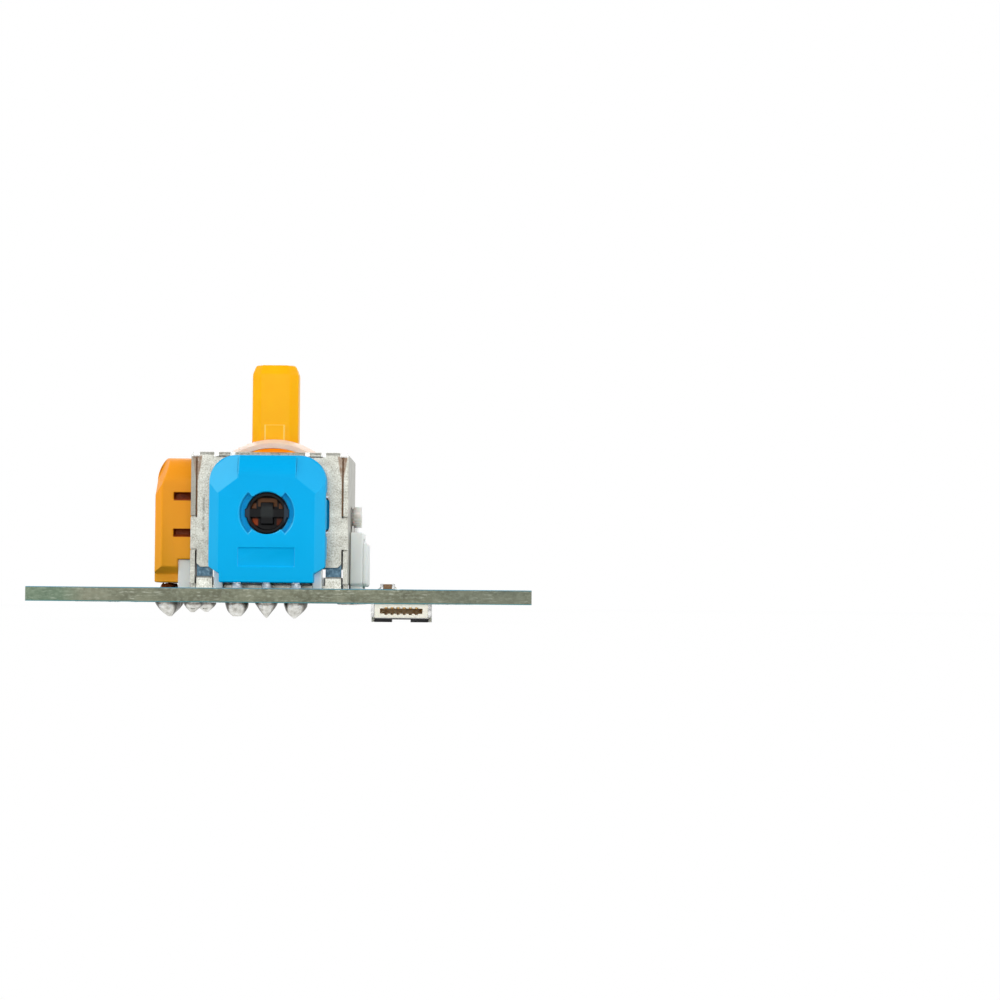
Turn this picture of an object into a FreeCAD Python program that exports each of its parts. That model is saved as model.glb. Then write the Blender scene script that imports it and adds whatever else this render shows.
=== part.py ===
import FreeCAD, Part
import math
import os

# A two-axis thumb stick module with a push switch, soldered to its circuit board.
# Sizes are millimetres. Z is up from the board's top face and X runs along the board.
# The stick stands on the Z axis, and both tilt axes cross it at tilt_height.

# Circuit board
board_left = 19.4
board_right = 22.4
board_front = 16.5
board_rear = 11.0
board_thickness = 1.2
board_front_radius = 0.8
board_rear_corner = 4.0
screw_spacing = 31.0
screw_hole_radius = 1.1

# Motion
tilt_height = 6.4
tilt_limit_deg = 18.0
click_deg = 1.8
click_pivot_depth = 0.5

# Folded metal cover
cover_width = 13.5
cover_top = 11.75
sheet = 0.4
fold_radius = 0.35
seam = 0.15
front_wall_bottom = 1.86
front_wall_corner_cut = 1.1
side_wall_bottom = 0.45
ear_bottom = 3.4
ear_top = 6.1
corner_relief_radius = 0.33
corner_relief_drop = 0.25
relief_depth = 0.5
slit_inner = 3.2
slit_outer = 4.6
slit_drop = 0.4
slit_height = 0.14
slit_relief_radius = 0.2
slit_relief_drop = 0.17
leg_width = 1.0
leg_inset = 1.35
leg_proud = 0.6
leg_hole_play = 0.2
small_hole_sides = 8
relief_sides = 8

# Stick
stick_width = 4.06
stick_depth = 3.5
stick_corner = 0.68
stick_top = 19.7
stick_top_chamfer = 0.3
stick_top_chamfer_height = 0.8
pad_width = 1.72
pad_raise = 0.12
pad_top = 14.4
shank_width = 3.7
shank_depth = 3.2
shank_rise = 0.15
hub_radius = 1.6
foot_radius = 0.9
foot_drop = 2.6
pin_radius = 0.5
pin_running_play = 0.05
pin_fit = 0.01

# Domed arch yoke
dome_gap = 0.32
dome_wall = 1.1
dome_rail = 1.0
dome_hole_play = 0.3
dome_slot_play = 0.25
dome_slot_end_play = 0.1
yoke_side_gap = 0.35
yoke_plate = 0.8
yoke_skirt = 1.0
cheek_play = 0.4
journal_radius = 1.15
journal_play = 0.15
journal_end_gap = 0.1
tongue_width = 0.9
tongue_height = 2.2
tongue_play = 0.1
end_journal_radius = 0.75
end_disc_radius = 0.92
end_disc_gap = 0.2
end_disc_thickness = 0.7
end_slot_play = 0.2

# Cross yoke
cross_radius = 4.7
cross_wall = 0.6
cross_width = 6.0
cross_slot_play = 0.45
cross_slot_end_play = 0.2
collar_radius = 1.6
collar_gap = 0.15

# Angle sensor, measured outwards from the stick axis on the front and the left side
housing_gap = 0.05
housing_thickness = 3.3
housing_side_inset = 1.8
housing_bottom = 0.5
housing_top_inset = 0.4
housing_corner_radius = 2.2
bevel_width = 0.77
bevel_depth = 0.65
crown_depth = 0.85
crown_height = 2.0
facet_run = 1.68
facet_drop = 1.3
skirt_inset = 0.95
skirt_top = 1.25
skirt_slant = 0.6
window_radius = 1.8
window_floor_depth = 0.9
lobe_radius = 2.31
lobe_angle_deg = 47.6
panel_width = 4.8
panel_height = 1.6
panel_centre = 2.66
panel_depth = 0.1
notch_top = 2.5
notch_depth = 1.2
arm_height = 2.6
arm_thickness = 0.6
arm_root_depth = 1.6
arm_slit = 0.55
arm_slot_play = 0.1
arm_slot_end_play = 0.25
slot_end_steps = 4
arm_hook = 0.15
arm_hook_length = 0.2
arm_hook_gap = 0.05

# Rotor, magnet and sensor chip
rotor_radius = 1.72
rotor_gap = 0.2
flange_radius = 2.5
flange_thickness = 0.4
flange_play = 0.25
magnet_fit = 0.02
magnet_length = 1.2
cavity_end_gap = 0.1
rotor_rim_wall = 0.3
rotor_nose_inset = 0.4
rotor_floor_thickness = 0.2
bar_length = 3.74
bar_height = 0.74
bar_lift = 0.1
rotor_hub_width = 1.06
rotor_hub_height = 1.84
chip_width = 5.8
chip_height = 1.9
chip_thickness = 0.8
chip_play = 0.05
chip_magnet_gap = 0.15
lead_depth = 2.4
lead_pitch = 2.5
lead_width = 0.6
lead_thickness = 0.3
lead_proud = 0.9
lead_hole_radius = 0.45
lead_count = 3

# Solder
solder_radius = 0.97
lead_solder_height = 1.3
leg_solder_height = 0.85
flat_solder_height = 0.1
solder_sides = 10
solder_heights = [0, 0.35, 0.68, 0.9, 1]
solder_widths = [1, 0.85, 0.57, 0.28, 0.08]

# White floor frame, spring and seat
base_plate_thickness = 0.3
lip_top = 1.0
lip_width = 1.9
upstand_top = 2.3
upstand_gap = 0.05
frame_gap = 0.1
frame_floor = 1.0
well_wall = 0.65
well_top = 3.3
seat_radius = 2.6
seat_play = 0.15
seat_thickness = 0.5
seat_foot_gap = 0.18
seat_spigot_radius = 1.6
seat_spigot_length = 0.5
spring_wire = 0.35
spring_mean_radius = 2.0
spring_turns = 4
spring_wire_sides = 6
spring_steps_per_turn = 10
post_inset = 1.15
post_width = 0.8
post_gap = 0.05
post_thickness = 1.15
post_bridge_top = 1.7

# Push switch on the right
switch_wall_gap = 0.05
switch_thickness = 1.1
switch_length = 6.0
switch_bottom = 0.3
switch_top_drop = 1.4
switch_corner = 0.25
switch_cover_thickness = 0.4
switch_cover_step = 0.9
switch_cover_chamfer = 0.12
switch_foot_length = 1.2
switch_pocket_wall = 0.18
switch_pocket_length = 3.6
switch_pocket_roof = 0.55
switch_pocket_height = 1.85
plunger_length = 1.5
plunger_blade = 0.3
plunger_play = 0.06
plunger_gap = 0.04
plunger_shoulder = 0.35
plunger_shoulder_height = 0.5
plunger_rise = 0.85
dome_strip_thickness = 0.12
dome_strip_length = 3.2
dome_strip_gap = 0.03
terminal_pitch = 4.5
terminal_width = 0.6
terminal_thickness = 0.3
terminal_count = 2
terminal_hole_radius = 0.45

# Flat-cable connector under the board
conn_x = 11.65
conn_front_inset = 0.1
conn_width = 4.43
conn_depth = 3.2
conn_height = 1.15
cable_slot_width = 3.5
cable_slot_height = 0.42
cable_slot_roof = 0.38
cable_slot_depth = 2.6
contact_count = 6
contact_pitch = 0.5
contact_width = 0.16
contact_thickness = 0.1
contact_groove_width = 0.25
contact_groove_height = 0.1
contact_front_inset = 0.3
contact_tail = 0.5
contact_tail_thickness = 0.15
anchor_width = 0.28
anchor_length = 1.1
anchor_drop = 1.1
latch_gap = 0.03
latch_thickness = 0.32
latch_length = 1.7
latch_notch_width = 1.56
latch_web = 0.1
latch_pin_radius = 0.1
latch_pin_length = 0.2
latch_pin_play = 0.02
latch_bore_radius = 0.13
latch_ear_width = 0.28
latch_ear_length = 0.6

# Chip capacitor on the board
cap_x = 10.38
cap_y = -12.0
cap_length = 1.2
cap_depth = 0.6
cap_height = 0.45
cap_end = 0.25
cap_end_proud = 0.02

# Places that follow from the sizes
tilt_sin = math.sin(math.radians(tilt_limit_deg))
tilt_cos = math.cos(math.radians(tilt_limit_deg))
click_slope = math.sin(math.radians(click_deg))
board_bottom = -board_thickness
cover_half = cover_width / 2
cover_inside = cover_half - sheet
front_wall_half = cover_inside - seam
top_underside = cover_top - sheet
leg_offset = cover_half - leg_inset
yoke_reach = cover_inside - yoke_side_gap
cross_inside = cross_radius - cross_wall
dome_inside = math.hypot(cross_radius, cross_width / 2) + dome_gap
dome_radius = dome_inside + dome_wall
cover_hole_radius = math.sqrt(dome_radius ** 2 - (top_underside - tilt_height) ** 2) + dome_hole_play
dome_slot_half_y = stick_depth / 2 + dome_slot_play
dome_half = dome_slot_half_y + dome_rail
dome_slot_half_x = stick_width / 2 * tilt_cos + dome_radius * tilt_sin + dome_slot_end_play
cheek_inner = stick_depth / 2 + cheek_play
cross_slot_half_x = shank_width / 2 + cross_slot_play
cross_slot_half_y = shank_depth / 2 * tilt_cos + cross_radius * tilt_sin + cross_slot_end_play
shank_top = tilt_height + dome_inside + shank_rise
wall_hole_radius = journal_radius + journal_play
housing_inner = cover_half + housing_gap
housing_outer = housing_inner + housing_thickness
click_pivot_reach = housing_inner + click_pivot_depth
lead_reach = housing_inner + lead_depth
housing_half = cover_half - housing_side_inset
skirt_half = housing_half - skirt_inset
lip_inner = cover_half - lip_width
post_inner = housing_half - post_inset
upstand_front = upstand_gap - cover_inside
upstand_back = upstand_front + base_plate_thickness
housing_top = cover_top - housing_top_inset
window_floor = housing_outer - window_floor_depth
arm_bottom = tilt_height - arm_height / 2
arm_top = tilt_height + arm_height / 2
arm_tip = cover_inside - arm_hook_gap - arm_hook_length
rotor_back = housing_inner + rotor_gap
magnet_back = rotor_back + flange_thickness
magnet_front = magnet_back + magnet_length
cavity_front = magnet_front + cavity_end_gap
nose_front = housing_outer - rotor_nose_inset
tongue_end = cavity_front
chip_back = lead_reach - chip_thickness / 2
chip_top = tilt_height - flange_radius - chip_magnet_gap
chip_bottom = chip_top - chip_height
end_disc_inner = cover_half + end_disc_gap
end_disc_outer = end_disc_inner + end_disc_thickness
click_drop = (end_disc_outer + click_pivot_reach) * click_slope
seat_top = tilt_height - foot_drop - seat_foot_gap
seat_bottom = seat_top - seat_thickness
switch_inner = cover_half + switch_wall_gap
switch_outer = switch_inner + switch_thickness
switch_cover_outer = switch_outer + switch_cover_thickness
plunger_top = tilt_height - end_disc_radius - plunger_gap
switch_top = tilt_height - switch_top_drop
switch_cover_top = switch_top - switch_cover_step
switch_pocket_top = switch_top - switch_pocket_roof
switch_pocket_bottom = switch_pocket_top - switch_pocket_height
plunger_bottom = switch_pocket_bottom + plunger_rise
conn_front = -(board_front - conn_front_inset)
conn_rear = conn_front + conn_depth
conn_bottom = board_bottom - conn_height
slot_top = board_bottom - cable_slot_roof
slot_bottom = slot_top - cable_slot_height
latch_top = conn_bottom - latch_gap
latch_bottom = latch_top - latch_thickness
latch_axis_z = (latch_top + latch_bottom) / 2
latch_axis_y = conn_front + latch_length

X_AXIS = FreeCAD.Vector(1, 0, 0)
Y_AXIS = FreeCAD.Vector(0, 1, 0)
Z_AXIS = FreeCAD.Vector(0, 0, 1)
ORIGIN = FreeCAD.Vector(0, 0, 0)
same = 0.001
TILT_CENTRE = FreeCAD.Vector(0, 0, tilt_height)


def block(x_low, x_high, y_low, y_high, z_low, z_high):
    """A box between two corners."""
    corner = FreeCAD.Vector(x_low, y_low, z_low)
    return Part.makeBox(x_high - x_low, y_high - y_low, z_high - z_low, corner)


def rod_along_y(radius, y_low, y_high, x, z):
    return Part.makeCylinder(radius, y_high - y_low, FreeCAD.Vector(x, y_low, z), Y_AXIS)


def rod_along_x(radius, x_low, x_high, y, z):
    return Part.makeCylinder(radius, x_high - x_low, FreeCAD.Vector(x_low, y, z), X_AXIS)


def rod_along_z(radius, z_low, z_high, x, y):
    return Part.makeCylinder(radius, z_high - z_low, FreeCAD.Vector(x, y, z_low), Z_AXIS)


def flat_face(corners):
    return Part.Face(Part.makePolygon(corners + [corners[0]]))


def outline_prism(points, sweep):
    """A closed outline of straight edges, pushed along sweep."""
    return flat_face(points).extrude(sweep)


def front_prism(points, y_low, y_high):
    """A prism whose outline is drawn in X and Z."""
    corners = [FreeCAD.Vector(x, y_low, z) for x, z in points]
    return outline_prism(corners, FreeCAD.Vector(0, y_high - y_low, 0))


def plan_prism(points, z_low, z_high):
    """A prism whose outline is drawn in X and Y."""
    corners = [FreeCAD.Vector(x, y, z_low) for x, y in points]
    return outline_prism(corners, FreeCAD.Vector(0, 0, z_high - z_low))


def joined(shapes):
    """One solid from pieces that touch or overlap."""
    whole = shapes[0].multiFuse(shapes[1:]).removeSplitter()
    return whole.Solids[0] if len(whole.Solids) == 1 else whole


def ring_of_points(centre, first, second, radius, sides):
    """Corners of a regular outline round centre, in the plane of two unit vectors."""
    corners = []
    for index in range(sides):
        turn = 2 * math.pi * (index + 0.5) / sides
        corners.append(centre + first * (radius * math.cos(turn)) + second * (radius * math.sin(turn)))
    return corners


def small_hole_z(radius, z_low, z_high, x, y):
    """An upright hole too small to need a round wall."""
    corners = ring_of_points(FreeCAD.Vector(x, y, z_low), X_AXIS, Y_AXIS, radius, small_hole_sides)
    return outline_prism(corners, FreeCAD.Vector(0, 0, z_high - z_low))


def relief_y(radius, y_low, y_high, x, z):
    """A relief hole through the front wall's fold."""
    corners = ring_of_points(FreeCAD.Vector(x, y_low, z), X_AXIS, Z_AXIS, radius, relief_sides)
    return outline_prism(corners, FreeCAD.Vector(0, y_high - y_low, 0))


def to_side(shape):
    """Turns a piece of the front sensor to the left side of the module."""
    turned = shape.copy()
    turned.rotate(ORIGIN, Z_AXIS, -90)
    return turned


def lead_places():
    """X of each sensor lead."""
    first = -(lead_count - 1) / 2 * lead_pitch
    return [first + index * lead_pitch for index in range(lead_count)]


def terminal_places():
    """Y of each switch terminal."""
    first = -(terminal_count - 1) / 2 * terminal_pitch
    return [first + index * terminal_pitch for index in range(terminal_count)]


def terminal_x():
    return (switch_inner + switch_outer) / 2


def leg_places():
    """Plan places of the cover's legs, left pair first."""
    x = cover_half - sheet / 2
    return [(side * x, end * leg_offset) for side in (-1, 1) for end in (-1, 1)]


def circuit_board():
    outline = [(-board_left, -board_front), (board_right, -board_front),
               (board_right, board_rear - board_rear_corner),
               (board_right - board_rear_corner, board_rear),
               (board_rear_corner - board_left, board_rear),
               (-board_left, board_rear - board_rear_corner)]
    board = plan_prism(outline, board_bottom, 0)
    upright = [edge for edge in board.Edges if abs(edge.CenterOfMass.z - board_bottom / 2) < same]
    front_edges = [edge for edge in upright if abs(edge.CenterOfMass.y + board_front) < same]
    board = board.makeFillet(board_front_radius, front_edges)
    screw_x = screw_spacing / 2
    cuts = [rod_along_z(screw_hole_radius, board_bottom, 0, x, 0) for x in (-screw_x, screw_x)]
    lead_holes = [small_hole_z(lead_hole_radius, board_bottom, 0, x, -lead_reach) for x in lead_places()]
    cuts += lead_holes + [to_side(hole) for hole in lead_holes]
    for y in terminal_places():
        cuts.append(small_hole_z(terminal_hole_radius, board_bottom, 0, terminal_x(), y))
    half_x = sheet / 2 + leg_hole_play
    half_y = leg_width / 2 + leg_hole_play
    for x, y in leg_places():
        cuts.append(block(x - half_x, x + half_x, y - half_y, y + half_y, board_bottom, 0))
    return board.cut(cuts)


def cover_leg(x, y):
    proud = leg_proud if x < 0 else flat_solder_height
    return block(x - sheet / 2, x + sheet / 2, y - leg_width / 2, y + leg_width / 2,
                 board_bottom - proud, side_wall_bottom)


def arm_slot(side):
    """The slot in a wall that a housing's snap arm passes through, drawn for the front wall."""
    inner = housing_half - arm_thickness - arm_slot_play
    outer = housing_half + arm_hook + arm_slot_play / 2
    low, high = sorted((side * inner, side * outer))
    end_radius = (high - low) / 2
    middle = (low + high) / 2
    outline = []
    for end in (-1, 1):
        centre_z = tilt_height + end * (arm_height / 2 + arm_slot_end_play - end_radius)
        for index in range(slot_end_steps + 1):
            turn = math.pi * index / slot_end_steps
            across = end * end_radius * math.cos(turn)
            outline.append((middle + across, centre_z + end * end_radius * math.sin(turn)))
    return front_prism(outline, -cover_half, -cover_inside)


def wall_with_ears(direction):
    """The front or back wall: narrower than the box, with ears that lock into the side walls."""
    face = direction * cover_half
    inside = direction * cover_inside
    y_low, y_high = sorted((face, inside))
    cut = front_wall_corner_cut
    top = top_underside + same
    outline = [(cut - front_wall_half, front_wall_bottom), (front_wall_half - cut, front_wall_bottom),
               (front_wall_half, front_wall_bottom + cut), (front_wall_half, ear_bottom),
               (cover_half, ear_bottom), (cover_half, ear_top), (front_wall_half, ear_top),
               (front_wall_half, top), (-front_wall_half, top),
               (-front_wall_half, ear_top), (-cover_half, ear_top), (-cover_half, ear_bottom),
               (-front_wall_half, ear_bottom), (-front_wall_half, front_wall_bottom + cut)]
    return front_prism(outline, y_low, y_high)


def side_wall(side):
    x_low, x_high = sorted((side * cover_inside, side * cover_half))
    wall = block(x_low, x_high, -cover_half, cover_half, side_wall_bottom, top_underside + same)
    notches = []
    for end in (-1, 1):
        y_low, y_high = sorted((end * (cover_inside - seam), end * cover_half))
        notches.append(block(x_low, x_high, y_low, y_high, ear_bottom - seam, ear_top + seam))
    if side < 0:
        notches.append(block(x_low, x_high, -lip_inner, lip_inner, side_wall_bottom, front_wall_bottom))
    return wall.cut(notches)


def fold_slits():
    """Slits under the fold with a relief at each end that opens the fold, drawn for the front wall."""
    z = cover_top - slit_drop
    cuts = []
    for side in (-1, 1):
        low, high = sorted((side * slit_inner, side * slit_outer))
        cuts.append(block(low, high, -cover_half, -cover_inside, z - slit_height / 2, z + slit_height / 2))
        for x in (low, high):
            cuts.append(relief_y(slit_relief_radius, -cover_half, relief_depth - cover_half, x,
                                 cover_top - slit_relief_drop))
    return cuts


def fold_profile():
    """The lid seen from the front: flat below, with both upper corners rounded by the folds."""
    turn = fold_radius * (1 - math.sqrt(0.5))

    def place(x, z):
        return FreeCAD.Vector(x, -cover_half, z)

    def fold(side):
        return [place(side * cover_half, cover_top - fold_radius),
                place(side * (cover_half - turn), cover_top - turn),
                place(side * (cover_half - fold_radius), cover_top)]

    left = fold(-1)
    right = fold(1)
    corners = [right[0], place(cover_half, top_underside), place(-cover_half, top_underside), left[0]]
    edges = [Part.makeLine(first, second) for first, second in zip(corners, corners[1:])]
    edges += [Part.Arc(left[0], left[1], left[2]).toShape(), Part.makeLine(left[2], right[2])]
    edges.append(Part.Arc(right[2], right[1], right[0]).toShape())
    return Part.Wire(edges)


def cover_lid():
    """The flat top with all four folds, which meet in mitres at the corners."""
    across = Part.Face(fold_profile()).extrude(FreeCAD.Vector(0, cover_width, 0))
    return across.common(to_side(across))


def metal_cover():
    walls = [wall_with_ears(-1), wall_with_ears(1), side_wall(-1), side_wall(1)]
    shell = joined([cover_lid()] + walls + [cover_leg(x, y) for x, y in leg_places()])
    opening = rod_along_z(cover_hole_radius, top_underside, cover_top, 0, 0)
    relief_z = cover_top - corner_relief_drop
    cuts = [opening]
    for x in (-cover_inside, cover_inside):
        cuts.append(relief_y(corner_relief_radius, -cover_half, relief_depth - cover_half, x, relief_z))
        cuts.append(relief_y(corner_relief_radius, cover_half - relief_depth, cover_half, x, relief_z))
    sensor_side = fold_slits() + [arm_slot(-1), arm_slot(1)]
    sensor_side.append(rod_along_y(wall_hole_radius, -cover_half, -cover_inside, 0, tilt_height))
    cuts += sensor_side + [to_side(cut) for cut in sensor_side]
    cuts.append(rod_along_y(wall_hole_radius, cover_inside, cover_half, 0, tilt_height))
    slot_half = end_journal_radius + end_slot_play
    cuts.append(rod_along_x(slot_half, cover_inside, cover_half, 0, tilt_height))
    cuts.append(rod_along_x(slot_half, cover_inside, cover_half, 0, tilt_height - click_drop))
    cuts.append(block(cover_inside, cover_half, -slot_half, slot_half, tilt_height - click_drop, tilt_height))
    return shell.cut(cuts)


def base_plate():
    half = front_wall_half
    plate = block(-half, half, -cover_half, cover_inside, 0, base_plate_thickness)
    lips = []
    for side in (-1, 1):
        low, high = sorted((side * lip_inner, side * half))
        lips.append(block(low, high, -cover_half, upstand_back, 0, lip_top))
        lips.append(block(low, high, upstand_front, upstand_back, lip_top, upstand_top))
    relief = block(-lip_inner, lip_inner, -cover_half, upstand_front, 0, base_plate_thickness)
    return joined([plate.cut(relief)] + lips)


def frame_posts():
    """The two posts that carry a sensor housing, with their bridges under the wall, for the front."""
    posts = []
    y_near = -(housing_inner + post_gap)
    y_far = y_near - post_thickness
    for side in (-1, 1):
        low, high = sorted((side * post_inner, side * (post_inner + post_width)))
        posts.append(block(low, high, y_far, y_near, 0, notch_top))
        posts.append(block(low, high, y_near, -(cover_inside - frame_gap), base_plate_thickness,
                           post_bridge_top))
    return posts


def base_frame():
    half = cover_inside - frame_gap
    floor = block(-half, half, -half, half, base_plate_thickness, frame_floor)
    pockets = []
    for side in (-1, 1):
        low, high = sorted((side * (lip_inner - frame_gap), side * half))
        pockets.append(block(low, high, -half, upstand_back + frame_gap, base_plate_thickness,
                             frame_floor))
    well_inside = seat_radius + seat_play
    well = rod_along_z(well_inside + well_wall, base_plate_thickness, well_top, 0, 0)
    front = frame_posts()
    body = joined([floor, well] + front + [to_side(post) for post in front])
    bore = rod_along_z(well_inside, frame_floor, well_top, 0, 0)
    return body.cut([bore] + pockets)


def crown_cut():
    """What is taken off the housing's top front edge: everything outside one arc."""
    arc_radius = (crown_depth ** 2 + crown_height ** 2) / (2 * crown_depth)
    arc_angle = math.asin(crown_height / arc_radius)
    y_face = -housing_outer
    z_start = housing_top - crown_height
    middle = FreeCAD.Vector(-housing_half, y_face + arc_radius * (1 - math.cos(arc_angle / 2)),
                            z_start + arc_radius * math.sin(arc_angle / 2))
    start = FreeCAD.Vector(-housing_half, y_face, z_start)
    end = FreeCAD.Vector(-housing_half, y_face + crown_depth, housing_top)
    corner = FreeCAD.Vector(-housing_half, y_face, housing_top)
    edges = [Part.Arc(start, middle, end).toShape()]
    edges += [Part.makeLine(end, corner), Part.makeLine(corner, start)]
    return Part.Face(Part.Wire(edges)).extrude(FreeCAD.Vector(2 * housing_half, 0, 0))


def bevel_cut(side):
    """The slanting edge down one side of the housing's face."""
    outline = [(side * housing_half, -housing_outer), (side * housing_half, bevel_depth - housing_outer),
               (side * (housing_half - bevel_width), -housing_outer)]
    return plan_prism(outline, housing_bottom, housing_top)


def facet_cut(side):
    """A flat facet across an upper corner of the face, beside the crown and above the side bevel."""
    face_y = -housing_outer
    beside_bevel = housing_half - bevel_width
    high_end = FreeCAD.Vector(side * (beside_bevel - facet_run), face_y, housing_top - crown_height)
    low_end = FreeCAD.Vector(side * beside_bevel, face_y, high_end.z - facet_drop)
    along = (low_end - high_end).normalize()
    outward = FreeCAD.Vector(-side * along.z, 0, side * along.x)
    reach = 2 * housing_half
    slope = crown_depth / (crown_height * outward.z)
    start = high_end - along * reach
    corner = start + outward * reach
    back = corner + FreeCAD.Vector(0, slope * reach, 0)
    facet = outline_prism([start, corner, back], along * (2 * reach))
    low, high = sorted((high_end.x, side * housing_half))
    return facet.common(block(low, high, -housing_outer, -housing_inner, housing_bottom, housing_top))


def lobe_cut():
    """The bow-tie recess round the window, where the rotor's bar swings."""
    half_height = lobe_radius * math.tan(math.radians(lobe_angle_deg))
    reach = lobe_radius
    bow = []
    for side in (-1, 1):
        fan = [(0, tilt_height), (side * reach, tilt_height - half_height),
               (side * reach, tilt_height + half_height)]
        bow.append(front_prism(fan, -housing_outer, -window_floor))
    disc = rod_along_y(lobe_radius, -housing_outer, -window_floor, 0, tilt_height)
    return disc.common(bow[0].fuse(bow[1]))


def snap_arm(side):
    """One arm that reaches through the wall slot and hooks behind the sheet."""
    low, high = sorted((side * (housing_half - arm_thickness), side * housing_half))
    arm = block(low, high, -(housing_inner + arm_root_depth), -arm_tip, arm_bottom, arm_top)
    hook_low, hook_high = sorted((side * housing_half, side * (housing_half + arm_hook)))
    hook = block(hook_low, hook_high, -(arm_tip + arm_hook_length), -arm_tip, arm_bottom, arm_top)
    return [arm, hook]


def arm_clearance(side):
    """The slits above, below and behind a snap arm that let it bend."""
    low, high = sorted((side * (housing_half - arm_thickness - arm_slit), side * housing_half))
    return block(low, high, -(housing_inner + arm_root_depth), -housing_inner,
                 arm_bottom - arm_slit, arm_top + arm_slit)


def sensor_housing():
    """The moulding that closes an angle sensor, drawn for the front of the module."""
    body = block(-housing_half, housing_half, -housing_outer, -housing_inner, housing_bottom, housing_top)
    along_top = [edge for edge in body.Edges if abs(edge.CenterOfMass.z - housing_top) < same]
    shoulders = [edge for edge in along_top if abs(edge.CenterOfMass.x) > housing_half - same]
    body = body.makeFillet(housing_corner_radius, shoulders)
    cuts = [crown_cut(), bevel_cut(-1), bevel_cut(1), facet_cut(-1), facet_cut(1), lobe_cut()]
    cuts.append(rod_along_y(window_radius, -housing_outer, -cavity_front, 0, tilt_height))
    cuts.append(rod_along_y(flange_radius + flange_play, -cavity_front, -housing_inner, 0, tilt_height))
    chip_half = chip_width / 2 + chip_play
    cuts.append(block(-chip_half, chip_half, -(chip_back + chip_thickness + chip_play),
                      -(chip_back - chip_play), housing_bottom, chip_top + chip_play))
    cuts.append(block(-panel_width / 2, panel_width / 2, -housing_outer, panel_depth - housing_outer,
                      panel_centre - panel_height / 2, panel_centre + panel_height / 2))
    cuts.append(block(-housing_half, housing_half, -(housing_inner + notch_depth), -housing_inner,
                      housing_bottom, notch_top))
    for side in (-1, 1):
        inner = side * skirt_half
        outer = side * housing_half
        step = [(inner, housing_bottom), (inner, skirt_top), (outer, skirt_top + skirt_slant),
                (outer, housing_bottom)]
        cuts.append(front_prism(step, -housing_outer, -housing_inner))
        cuts.append(arm_clearance(side))
    return joined([body.cut(cuts)] + snap_arm(-1) + snap_arm(1))


def sensor_rotor():
    """The turning piece of an angle sensor: flange, rimmed nose, hub and stop bar."""
    rim_back = cavity_front + rotor_floor_thickness
    core = rod_along_y(rotor_radius, -nose_front, -rotor_back, 0, tilt_height)
    bowl = rod_along_y(rotor_radius - rotor_rim_wall, -nose_front, -rim_back, 0, tilt_height)
    flange = rod_along_y(flange_radius, -magnet_back, -rotor_back, 0, tilt_height)
    hub = block(-rotor_hub_width / 2, rotor_hub_width / 2, -nose_front, -rim_back,
                tilt_height - rotor_hub_height / 2, tilt_height + rotor_hub_height / 2)
    bar = block(-bar_length / 2, bar_length / 2, -nose_front, -(window_floor + bar_lift),
                tilt_height - bar_height / 2, tilt_height + bar_height / 2)
    slot_half_x = tongue_width / 2 + tongue_play
    slot_half_z = tongue_height / 2 + tongue_play
    slot = block(-slot_half_x, slot_half_x, -cavity_front, -rotor_back,
                 tilt_height - slot_half_z, tilt_height + slot_half_z)
    return joined([core.cut(bowl), flange, hub, bar]).cut(slot)


def sensor_magnet():
    ring = rod_along_y(flange_radius, -magnet_front, -magnet_back, 0, tilt_height)
    bore = rod_along_y(rotor_radius + magnet_fit, -magnet_front, -magnet_back, 0, tilt_height)
    return ring.cut(bore)


def sensor_chip():
    half = chip_width / 2
    return block(-half, half, -(chip_back + chip_thickness), -chip_back, chip_bottom, chip_top)


def sensor_leads():
    leads = []
    for x in lead_places():
        leads.append(block(x - lead_width / 2, x + lead_width / 2, -lead_reach - lead_thickness / 2,
                           lead_thickness / 2 - lead_reach, board_bottom - lead_proud, chip_bottom))
    return Part.makeCompound(leads)


def solder_joint(x, y, height):
    """Solder drawn down round a pin under the board: full at the pad, with a rounded tip."""
    rings = []
    for share, width in zip(solder_heights, solder_widths):
        centre = FreeCAD.Vector(x, y, board_bottom - share * height)
        rings.append(ring_of_points(centre, X_AXIS, Y_AXIS, width * solder_radius, solder_sides))
    faces = [flat_face(rings[0]), flat_face(rings[-1])]
    for upper, lower in zip(rings, rings[1:]):
        for index in range(solder_sides):
            following = (index + 1) % solder_sides
            faces.append(flat_face([upper[index], upper[following], lower[following], lower[index]]))
    shell = Part.makeShell(faces)
    shell.sewShape()
    return Part.makeSolid(shell)


def lead_solder():
    joints = [solder_joint(x, -lead_reach, lead_solder_height) for x in lead_places()]
    return Part.makeCompound([joint.cut(sensor_leads()) for joint in joints])


def cover_leg_solder():
    joints = []
    for x, y in leg_places():
        height = leg_solder_height if x < 0 else flat_solder_height
        joints.append(solder_joint(x, y, height).cut(cover_leg(x, y)))
    return Part.makeCompound(joints)


def dome_block(x_half, y_half, skirt):
    return block(-x_half, x_half, -y_half, y_half, tilt_height - skirt, tilt_height + dome_radius)


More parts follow.
